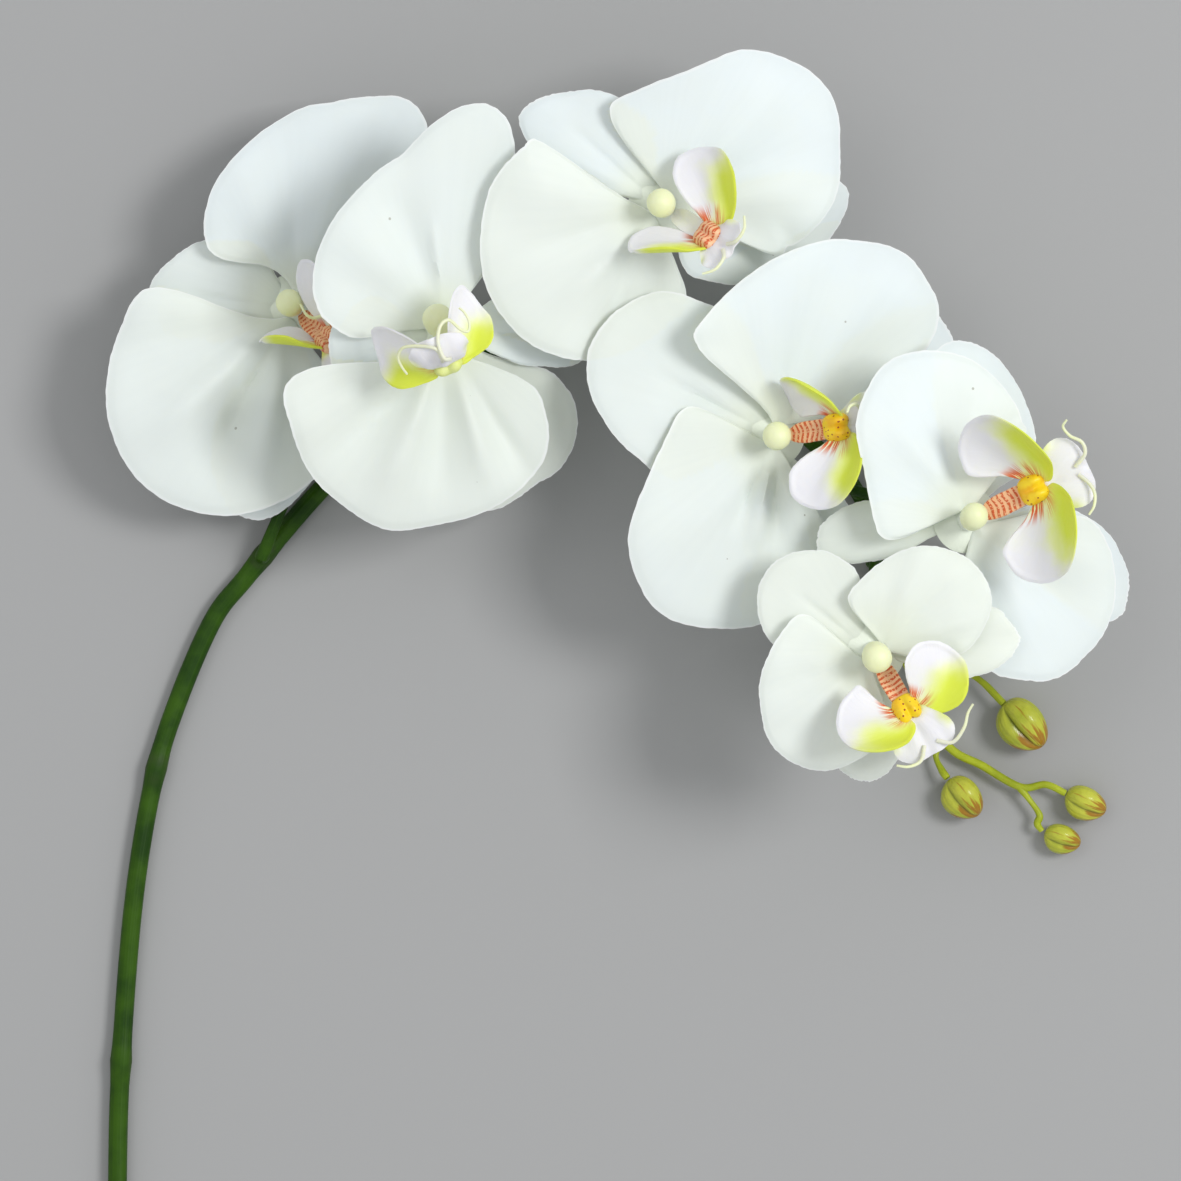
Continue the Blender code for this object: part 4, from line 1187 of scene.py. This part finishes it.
def tepal_relief(bloom, tepal):
    """The folds from the claw, a soft wave of the margin and its slightly rolled rim."""
    broad = "petal" in tepal.name
    wave = PETAL_WAVE if broad else SEPAL_WAVE
    folds = FOLDS.get(f"{bloom.name}_{tepal.name}", SOFT_PETAL if broad else SOFT_SEPAL)

    def relief(spot):
        height = wave * np.sin(5 * spot["turn"] + tepal.azimuth) * ease(0.5, 1, spot["rim"])
        for middle, width, rise, start, end in folds:
            part = ease(start, start + FOLD_RISE, spot["share"])
            part = part * (1 - ease(end - FOLD_FADE, end, spot["share"]))
            height = height + FOLD_HEIGHT * rise * hump(middle, width, spot["fan"]) * part
        return height - ROLLED_RIM * ease(0.9, 1, spot["rim"])

    return relief


def make_tepal(bloom, tepal, cells, nick, seed):
    """A sepal or petal in its place, still a thin sheet, and how near its rim each point is."""
    name = f"{bloom.name}_{tepal.name}_skin"
    item, flat = new_grid(name, cells, cells)
    places, spot = blade_form(
        flat, tepal.shape, tepal[FORM], tepal.edge, tepal_relief(bloom, tepal), seed, nick
    )
    seat = bloom_matrix(bloom) @ turn_matrix(tepal.azimuth)
    seat = seat @ Matrix.Translation((SEAT, 0, tepal.level))
    set_places(item, moved(seat, places))
    set_blade_uv(item, spot)
    set_values(item, "margin", MARGIN_TINT * ease(0.975, 1, spot["rim"]))
    distance = np.hypot(spot["share"] * tepal.length, spot["side"])
    set_values(item, "heart", HEART_TINT * (1 - ease(*HEART_FADE, distance)))
    return item, spot["rim"]


def box_of(item):
    places = np.array([v.co for v in item.data.vertices]) / MM
    return places.min(axis=0), places.max(axis=0)


def nearest(trees, start, aim, limit):
    """How far along a ray the nearest of these surfaces lies, up to the limit."""
    hits = [tree.ray_cast(start, aim, limit) for tree in trees]
    return min((hit[3] for hit in hits if hit[0] is not None), default=limit)


def set_painted_shade(items):
    """Stores the creamy painted shade of each point, from its blade's own value and from the
    blades that lie near behind it or in front of it.
    """
    trees, boxes = {}, {}
    for item in items:
        points = [v.co / MM for v in item.data.vertices]
        trees[item.name] = BVHTree.FromPolygons(points, [p.vertices for p in item.data.polygons])
        boxes[item.name] = box_of(item)
    for item in items:
        low, high = boxes[item.name]
        near = []
        for other in items:
            a, b = boxes[other.name]
            if other is not item and all(a[k] < high[k] + 1 and b[k] > low[k] - 1 for k in (0, 1)):
                near.append(trees[other.name])
        values = []
        cream_and_shade = CREAM_AND_SHADE.get(item.name.removesuffix("_skin"), 0.0)
        for vertex in item.data.vertices:
            back = -vertex.normal if vertex.normal.z > 0 else vertex.normal
            # Painted shade: a blade near behind holds back the light let through, and one in front
            # casts shade
            total = 0
            for way in WAYS:
                aim = (back + Vector((*way, 0))).normalized()
                total += 1 - nearest(near, vertex.co / MM, aim, BEHIND) / BEHIND
            cover = nearest(near, vertex.co / MM - CLEAR * back, -back, IN_FRONT)
            backed = BEHIND_SHADE * total / len(WAYS)
            front_shade = IN_FRONT_SHADE * (1 - cover / IN_FRONT)
            values.append(min(1.0, max(cream_and_shade, backed, front_shade)))
        set_values(item, "backed", values)


def make_lobe(bloom, name, shape, form, edge, place, turn, cells, relief, seed, bow=0.0):
    item, flat = new_grid(f"{bloom.name}_{name}", cells, cells)
    places, spot = blade_form(flat, shape, form, edge, relief, seed, LOBE_NICK, bow)
    seat = lip_matrix(bloom) @ Matrix.Translation(place) @ turn_matrix(turn)
    set_places(item, moved(seat, places))
    set_blade_uv(item, spot)
    return item, spot


def finish_lobe(item, spot, green, blush, thickness, look):
    """green says where the lobe is lime, and blush where it has red stripes."""
    set_values(item, "green", green)
    set_values(item, "blush", blush)
    give_wall(item, thickness, LOBE_RIM, spot["rim"])
    item.data.materials.append(look)
    return item


def side_lobe_relief(way):
    """A keel along the lobe, a rolled outer edge and a fine rim."""

    def relief(spot):
        front = -way * spot["side"] / spot["half"]
        keel = hump(0.12, 0.28, front) * ease(0.02, 0.3, spot["share"])
        keel = keel * (1 - ease(0.55, 0.95, spot["share"]))
        rolled = 1.3 * ease(0.35, 1.0, front) * ease(0.1, 0.4, spot["share"])
        rim = 0.45 * hump(0.93, 0.06, spot["rim"])
        return keel + rolled + rim

    return relief


def middle_lobe_relief(spot):
    """A groove down the middle, raised corners and a wavy edge."""
    groove = -1.1 * hump(0, 0.12, spot["fan"]) * ease(0.2, 0.5, spot["share"])
    corner = 0.9 * ease(0.5, 0.95, np.abs(spot["side"]) / spot["half"])
    return groove + corner + 0.4 * np.sin(9 * spot["turn"]) * ease(0.7, 1, spot["rim"])


def tongue_relief(spot):
    return -0.35 * hump(0, 0.35, spot["side"] / spot["half"])


def make_tongue(bloom, settings, materials):
    tongue, spot = make_lobe(
        bloom, "tongue", TONGUE, TONGUE_FORM, (), TONGUE_SEAT, 0, settings.cells // 2,
        tongue_relief, 3,
    )
    set_uv(tongue, 0.5 + spot["side"] / spot["half"] / 2, np.clip(spot["share"], 0, 1))
    none = 0 * spot["share"]
    look = materials[TONGUE_LOOKS.get(bloom.name, "tongue")]
    return finish_lobe(tongue, spot, none + 0.2, none, settings.thickness, look)


def make_middle_lobe(bloom, settings, look):
    form = CURLED_LOBES.get(bloom.name, (*bloom.middle_lobe, *MIDDLE_BEND))
    lobe, spot = make_lobe(
        bloom, "middle_lobe", MIDDLE_LOBE, form, (), MIDDLE_SEAT, 0, settings.cells,
        middle_lobe_relief, 5,
    )
    outer = np.abs(spot["side"]) / spot["half"]
    green = 0.55 * hump(0.45, 0.25, spot["share"]) * ease(0.45, 0.95, outer)
    green = np.maximum(green, 0.75 * (1 - ease(0.05, 0.45, spot["share"])))
    return finish_lobe(lobe, spot, green, 0 * green, settings.thickness, look)


def make_side_lobes(bloom, settings, look):
    """The two lobes that curve round the throat, with lime along their outer edges."""
    made = []
    edges = (LEFT_LOBE_EDGE, RIGHT_LOBE_EDGE)
    lobes = SIDE_LOBES.get(bloom.name, bloom.side_lobes)
    bows = LOBE_BOWS[bloom.name]
    x, y, z = SIDE_SEAT
    for way, (turn, length, width, rise, roll), edge, bow in zip((1, -1), lobes, edges, bows):
        form = (length, width, rise, way * roll, *SIDE_BEND, way * SIDE_SKEW)
        lobe, spot = make_lobe(
            bloom, "side_lobe", SIDE_LOBE, form, edge, (x, way * y, z), way * (turn - bow / 2),
            settings.cells, side_lobe_relief(way), 7 + way, way * math.radians(bow),
        )
        front = -way * spot["side"] / spot["half"]
        green = (0.12 + 0.88 * ease(-0.45, 0.7, front)) * (1 - ease(0.42, 0.95, spot["share"]))
        green = np.maximum(green, 0.7 * (1 - ease(0.0, 0.4, spot["share"])))
        blush = (1 - ease(0.16, 0.36, spot["share"])) * (1 - ease(0.0, 0.4, front))
        made.append(finish_lobe(lobe, spot, green, blush, settings.thickness, look))
    return made


def make_tendrils(bloom, look):
    made = []
    seat = lip_matrix(bloom)
    starts = CURLED_STARTS.get(bloom.name, [points[:2] for points in bloom.tendrils])
    for start, points in zip(starts, bloom.tendrils):
        route = smooth_route([seat @ Vector(point) for point in (*start, *points[2:])], 5)
        count = len(route)
        radii = [TENDRIL_RADIUS * (1 - 0.5 * k / count) for k in range(count)]
        tendril = tube(f"{bloom.name}_tendril", route, radii, 10)
        tendril.data.materials.append(look)
        made.append(tendril)
    return made


def make_callus(bloom, materials):
    """A squarish cushion with a cleft along its top and a notch in its front."""
    seat = lip_matrix(bloom)
    centre = np.array(CALLUS_CENTRE) - (0, 0, CALLUS_DROPS.get(bloom.name, 0.0))

    def form(unit):
        x, y, z = unit[:, 0], unit[:, 1], unit[:, 2]
        power = CALLUS_SQUARENESS
        square = (np.abs(x) ** power + np.abs(y) ** power + 1e-9) ** (1 / power)
        level = np.hypot(x, y)
        scale = np.where(level > 1e-6, level / np.maximum(square, 1e-6), 1)
        x, y = x * scale, y * scale
        z = z * (1 - 0.45 * hump(0, 0.25, y) * (z > 0))
        x = x * (1 - 0.22 * hump(0, 0.3, y) * (x > 0))
        z = z + 0.25 * hump(0.5, 0.3, np.abs(y)) * hump(0.3, 0.5, x) * (z > 0)
        return moved(seat, np.column_stack([x, y, z]) * np.array(CALLUS_RADII) + centre)

    callus = ball(f"{bloom.name}_callus", 32, 20, form)
    places = (np.array([v.co for v in callus.data.vertices]) / MM) @ np.array(seat.to_3x3())
    across, along = (np.argsort(np.argsort(places[:, k])) / len(places) for k in (1, 0))
    set_uv(callus, across, 0.5 * along)
    set_values(callus, "green", 0.6 + 0 * across)
    set_values(callus, "blush", 0 * across)
    callus.data.materials.append(materials[CALLUS_LOOKS.get(bloom.name, "callus")])
    return callus


def make_lip(bloom, settings, materials):
    """The lip in one piece, as its mould makes it."""
    pieces = [
        make_tongue(bloom, settings, materials),
        make_middle_lobe(bloom, settings, materials["lobe"]),
        *make_side_lobes(bloom, settings, materials["lobe"]),
        *make_tendrils(bloom, materials["column"]),
        make_callus(bloom, materials),
    ]
    lip = joined(f"{bloom.name}_lip_skin", pieces)
    shade(lip, LIP_EDGE)
    finish_piece(lip, f"{bloom.name}_lip")


def make_column(bloom, look):
    """The column, slightly oval at its foot, with a fine seam under its round cap."""
    seat = lip_matrix(bloom)
    fine = smooth_route(COLUMN_PATH, 4)
    route = [seat @ Vector((p.x, 0, p.y)) for p in fine]
    girth = COLUMN_GIRTHS.get(bloom.name, 1.0)
    radii = [max(0.3, p.z) * bloom.size * girth for p in fine]

    def section(turn, share):
        seam = 1 - 0.06 * hump(0.52, 0.02, share)
        return seam * (1 + 0.05 * np.cos(2 * turn) * (1 - ease(0.4, 0.6, share)))

    column = tube(f"{bloom.name}_column_skin", route, radii, 28, section)
    shade(column, STEM_EDGE)
    column.data.materials.append(look)
    finish_piece(column, f"{bloom.name}_column")


def heart_form(unit):
    """A low mound, so that the claws come out of it without a step."""
    x, y, z = unit[:, 0], unit[:, 1], unit[:, 2]
    mound = HEART_LEVEL + HEART_RISE * z * np.abs(z)
    return np.column_stack([x * HEART_RADIUS, y * HEART_RADIUS, mound])


def make_stalk(bloom, look):
    """The stalk from the stem to its receptacle, with the mound under the claws."""
    seat = bloom_matrix(bloom)
    way = [GROUP + Vector(p) for p in bloom.stalk]
    route = [way[0], *smooth_route([*way[1:], seat @ Vector((0, 0, -NECK))], 8)]
    count = len(route) - 1
    radii = [STALK_ROOT] + [
        max(STALK_LEAST, STALK_RADIUS - STALK_TAPER * k) for k in range(count)
    ]
    widest = max(radius for height, radius in RECEPTACLE)
    head = smooth_route([(height, radius, 0) for height, radius in RECEPTACLE], 4)
    for point in head:
        route.append(seat @ Vector((0, 0, point.x)))
        radii.append(min(point.y, widest))
    neck = tube("neck", route, radii, 20)
    heart = ball("heart", 48, 20, lambda unit: moved(seat, heart_form(unit)))
    set_values(heart, "along", np.ones(len(heart.data.vertices)))
    stalk = joined(f"{bloom.name}_stalk_skin", [neck, heart])
    shade(stalk, STEM_EDGE)
    stalk.data.materials.append(look)
    finish_piece(stalk, f"{bloom.name}_stalk")


def stem_radius(place, share):
    """The radius, which shrinks towards the last bloom and swells at each node."""
    radius = STEM_RADIUS - STEM_TAPER * float(ease(0.6, 1, share))
    for x, y in STEM_NODES:
        away = (place - Vector((x, y, 0))).length / NODE_REACH
        radius *= 1 + NODE_SWELL * max(0.0, 1 - away) ** 1.5
    return radius


def make_stem(settings, look):
    """The stem, slightly ribbed and flat underneath, with a dark scar round each node."""
    line = smooth_route([(x, y, 0) for x, y in STEM_ROUTE], 10)
    last = len(line) - 1
    radii = [stem_radius(place, k / last) for k, place in enumerate(line)]
    route = [GROUP + Vector((p.x, p.y, r * FLAT_SIDE)) for p, r in zip(line, radii)]

    def section(turn, share):
        ribs = 1 + 0.012 * np.cos(6 * turn) + 0.01 * np.sin(41 * share + 2 * turn)
        under = np.cos(turn) < FLAT_START
        return np.where(under, FLAT_SIDE / np.maximum(-np.cos(turn), 0.5), ROUND_TOP * ribs)

    stem = tube("stem_skin", route, radii, settings.sides, section)
    places = np.array([v.co for v in stem.data.vertices]) / MM - np.array(GROUP)
    scar = np.zeros(len(places))
    for x, y in STEM_NODES:
        away = np.hypot(places[:, 0] - x, places[:, 1] - y)
        scar = np.maximum(scar, hump(SCAR_PLACE, 0.7, away))
    set_values(stem, "scar", 0.6 * scar)
    shade(stem, STEM_EDGE)
    stem.data.materials.append(look)
    finish_piece(stem, "stem")


def make_tip(look):
    """The pale end of the stem with its lumpy bud stalks."""
    route = smooth_route([GROUP + Vector(p) for p in TIP_ROUTE], 8)
    last = len(route) - 1
    radii = [TIP_RADIUS - TIP_TAPER * k / last for k in range(last + 1)]
    pieces = [tube("tip", route, radii, 16)]
    for number, points in enumerate(BUD_STALK_ROUTES):
        way = smooth_route([GROUP + Vector(p) for p in points], 8)
        lumps = [BUD_STALK_LUMP * math.sin(9 * k / len(way) + number) for k in range(len(way))]
        radii = [min(BUD_STALK_MOST, BUD_STALK_RADIUS + lump) for lump in lumps]
        pieces.append(tube("bud_stalk", way, radii, 14))
    tip = joined("stem_tip_skin", pieces)
    shade(tip, STEM_EDGE)
    tip.data.materials.append(look)
    finish_piece(tip, "stem_tip")


def make_bud(bud, look):
    """An egg of three closed sepals, with grooves between them and a blunt uneven point."""
    place = Matrix.Translation(GROUP + Vector((bud.x, bud.y, bud.z))) @ turn_matrix(bud.azimuth)
    third = 2 * math.pi / 3
    found = {}

    def form(unit):
        x, y, z = unit[:, 0], unit[:, 1], unit[:, 2]
        turn = np.arctan2(y, x)
        away = np.abs(np.remainder(turn + math.pi / 2 + third / 2, third) - third / 2)
        fade = 1 - np.abs(z) ** 4
        cleft = hump(0, 0.16, away) * fade
        bulge = 1 - 0.10 * np.cos(3 * (turn + math.pi / 2)) * fade
        wide = bulge * (1 - bud.groove * cleft) * (1 - 0.12 * z)
        wide = wide * (1 + 0.015 * np.sin(17 * turn) * fade)
        found["crease"] = 0.7 * hump(0, 0.1, away) * fade
        found["along"] = (z + 1) / 2
        lumps = 1 - 0.05 * hump(0, 0.3, away) * ease(0.7, 1, z)
        egg = np.column_stack([
            z * bud.length / 2 * lumps,
            -y * wide * bud.width / 2 * BUD_GIRTH,
            x * wide * bud.width / 2 * BUD_GIRTH,
        ])
        return moved(place, egg)

    made = ball(f"{bud.name}_skin", 54, 36, form)
    set_values(made, "crease", found["crease"])
    set_values(made, "along", found["along"])
    shade(made, PETAL_EDGE)
    made.data.materials.append(look)
    finish_piece(made, bud.name)


# Operators


class ORCHID_OT_petals(bpy.types.Operator):
    """Model the sepals and petals of all six blooms"""

    bl_idname = "orchid.petals"
    bl_label = "Sepals and petals"

    def execute(self, context):
        settings = context.scene.orchid_petals
        look = petal_material(settings)
        made = []
        for number, bloom in enumerate(BLOOMS):
            for place, tepal in enumerate(bloom.tepals):
                seed = 10 * number + place
                cells = settings.cells if "petal" in tepal.name else settings.cells * 3 // 4
                made.append(make_tepal(bloom, tepal, cells, settings.nick, seed))
        set_painted_shade([item for item, rim in made])
        for (item, rim), node in zip(made, TEPAL_NAMES):
            give_wall(item, settings.thickness, PETAL_RIM, rim)
            shade(item, PETAL_EDGE)
            item.data.materials.append(look)
            finish_piece(item, node)
        return {"FINISHED"}


class ORCHID_OT_lips(bpy.types.Operator):
    """Model each lip with its lobes, tongue, callus and tendrils"""

    bl_idname = "orchid.lips"
    bl_label = "Lips"

    def execute(self, context):
        settings = context.scene.orchid_lips
        materials = {
            "lobe": lobe_material(settings),
            "tongue": tongue_material(settings),
            "callus": callus_material(settings),
            "column": column_material(settings),
        }
        for bloom in BLOOMS:
            make_lip(bloom, settings, materials)
            make_column(bloom, materials["column"])
        return {"FINISHED"}


class ORCHID_OT_stem(bpy.types.Operator):
    """Model the stem, its pale tip and the flower stalks"""

    bl_idname = "orchid.stem"
    bl_label = "Stem and stalks"

    def execute(self, context):
        settings = context.scene.orchid_stem
        make_stem(settings, stem_material(settings))
        make_tip(tip_material(settings))
        look = stalk_material(settings)
        for bloom in BLOOMS:
            make_stalk(bloom, look)
        return {"FINISHED"}


class ORCHID_OT_buds(bpy.types.Operator):
    """Model the four closed buds"""

    bl_idname = "orchid.buds"
    bl_label = "Buds"

    def execute(self, context):
        look = bud_material(context.scene.orchid_stem)
        for bud in BUDS:
            make_bud(bud, look)
        return {"FINISHED"}


class ORCHID_OT_stage(bpy.types.Operator):
    """Set up the floor, the lights and the camera"""

    bl_idname = "orchid.stage"
    bl_label = "Stage"

    def execute(self, context):
        settings = context.scene.orchid_stage
        scene = context.scene
        deselect_all()
        bpy.ops.mesh.primitive_plane_add(size=FLOOR_SIDE, location=(0, 0, FLOOR_LEVEL))
        floor = context.object
        floor.name = "floor"
        look, _, shader = new_material("floor_plain")
        shader.inputs["Base Color"].default_value = settings.floor
        shader.inputs["Roughness"].default_value = 0.9
        floor.data.materials.append(look)
        powers = (settings.key_power, settings.fill_power)
        for (name, (place, size)), power in zip(LIGHTS.items(), powers):
            bpy.ops.object.light_add(type="AREA", location=place)
            light = context.object
            light.name = name
            light.data.size = size
            light.data.energy = power
            aim = LIGHT_TARGET - light.location
            light.rotation_euler = aim.to_track_quat("-Z", "Y").to_euler()
        world = bpy.data.worlds.new("studio")
        scene.world = world
        world.use_nodes = True
        sky = world.node_tree.nodes["Background"]
        sky.inputs["Color"].default_value = SKY_TINT
        sky.inputs["Strength"].default_value = settings.sky
        scene.view_settings.view_transform = "Standard"
        bpy.ops.object.camera_add(location=(GROUP.x * MM, GROUP.y * MM, CAMERA_HEIGHT))
        camera = context.object
        camera.name = "camera"
        camera.rotation_euler = (0, 0, 0)
        camera.data.sensor_width = SENSOR
        camera.data.lens = SENSOR * FRAME_DEPTH / FRAME_WIDTH
        camera.data.clip_end = 20
        scene.camera = camera
        return {"FINISHED"}


OPERATORS = (
    ORCHID_OT_petals,
    ORCHID_OT_lips,
    ORCHID_OT_stem,
    ORCHID_OT_buds,
    ORCHID_OT_stage,
)


class ORCHID_PT_panel(bpy.types.Panel):
    bl_label = "Moth orchid stem"
    bl_idname = "ORCHID_PT_panel"
    bl_space_type = "VIEW_3D"
    bl_region_type = "UI"
    bl_category = "Orchid"

    def draw(self, context):
        for operator in OPERATORS:
            self.layout.operator(operator.bl_idname)
        for group in SETTINGS:
            settings = getattr(context.scene, group)
            box = self.layout.box()
            for name in settings.__annotations__:
                box.prop(settings, name)


SETTINGS = {
    "orchid_petals": PetalSettings,
    "orchid_lips": LipSettings,
    "orchid_stem": StemSettings,
    "orchid_stage": StageSettings,
}
CLASSES = (*SETTINGS.values(), *OPERATORS, ORCHID_PT_panel)


def register():
    for item in CLASSES:
        bpy.utils.register_class(item)
    for name, group in SETTINGS.items():
        setattr(bpy.types.Scene, name, PointerProperty(type=group))


def unregister():
    for name in SETTINGS:
        delattr(bpy.types.Scene, name)
    for item in reversed(CLASSES):
        bpy.utils.unregister_class(item)


def main():
    """Builds the whole scene."""
    register()
    build_groups()
    bpy.ops.orchid.stage()
    bpy.ops.orchid.petals()
    bpy.ops.orchid.lips()
    bpy.ops.orchid.stem()
    bpy.ops.orchid.buds()


if __name__ == "__main__":
    main()
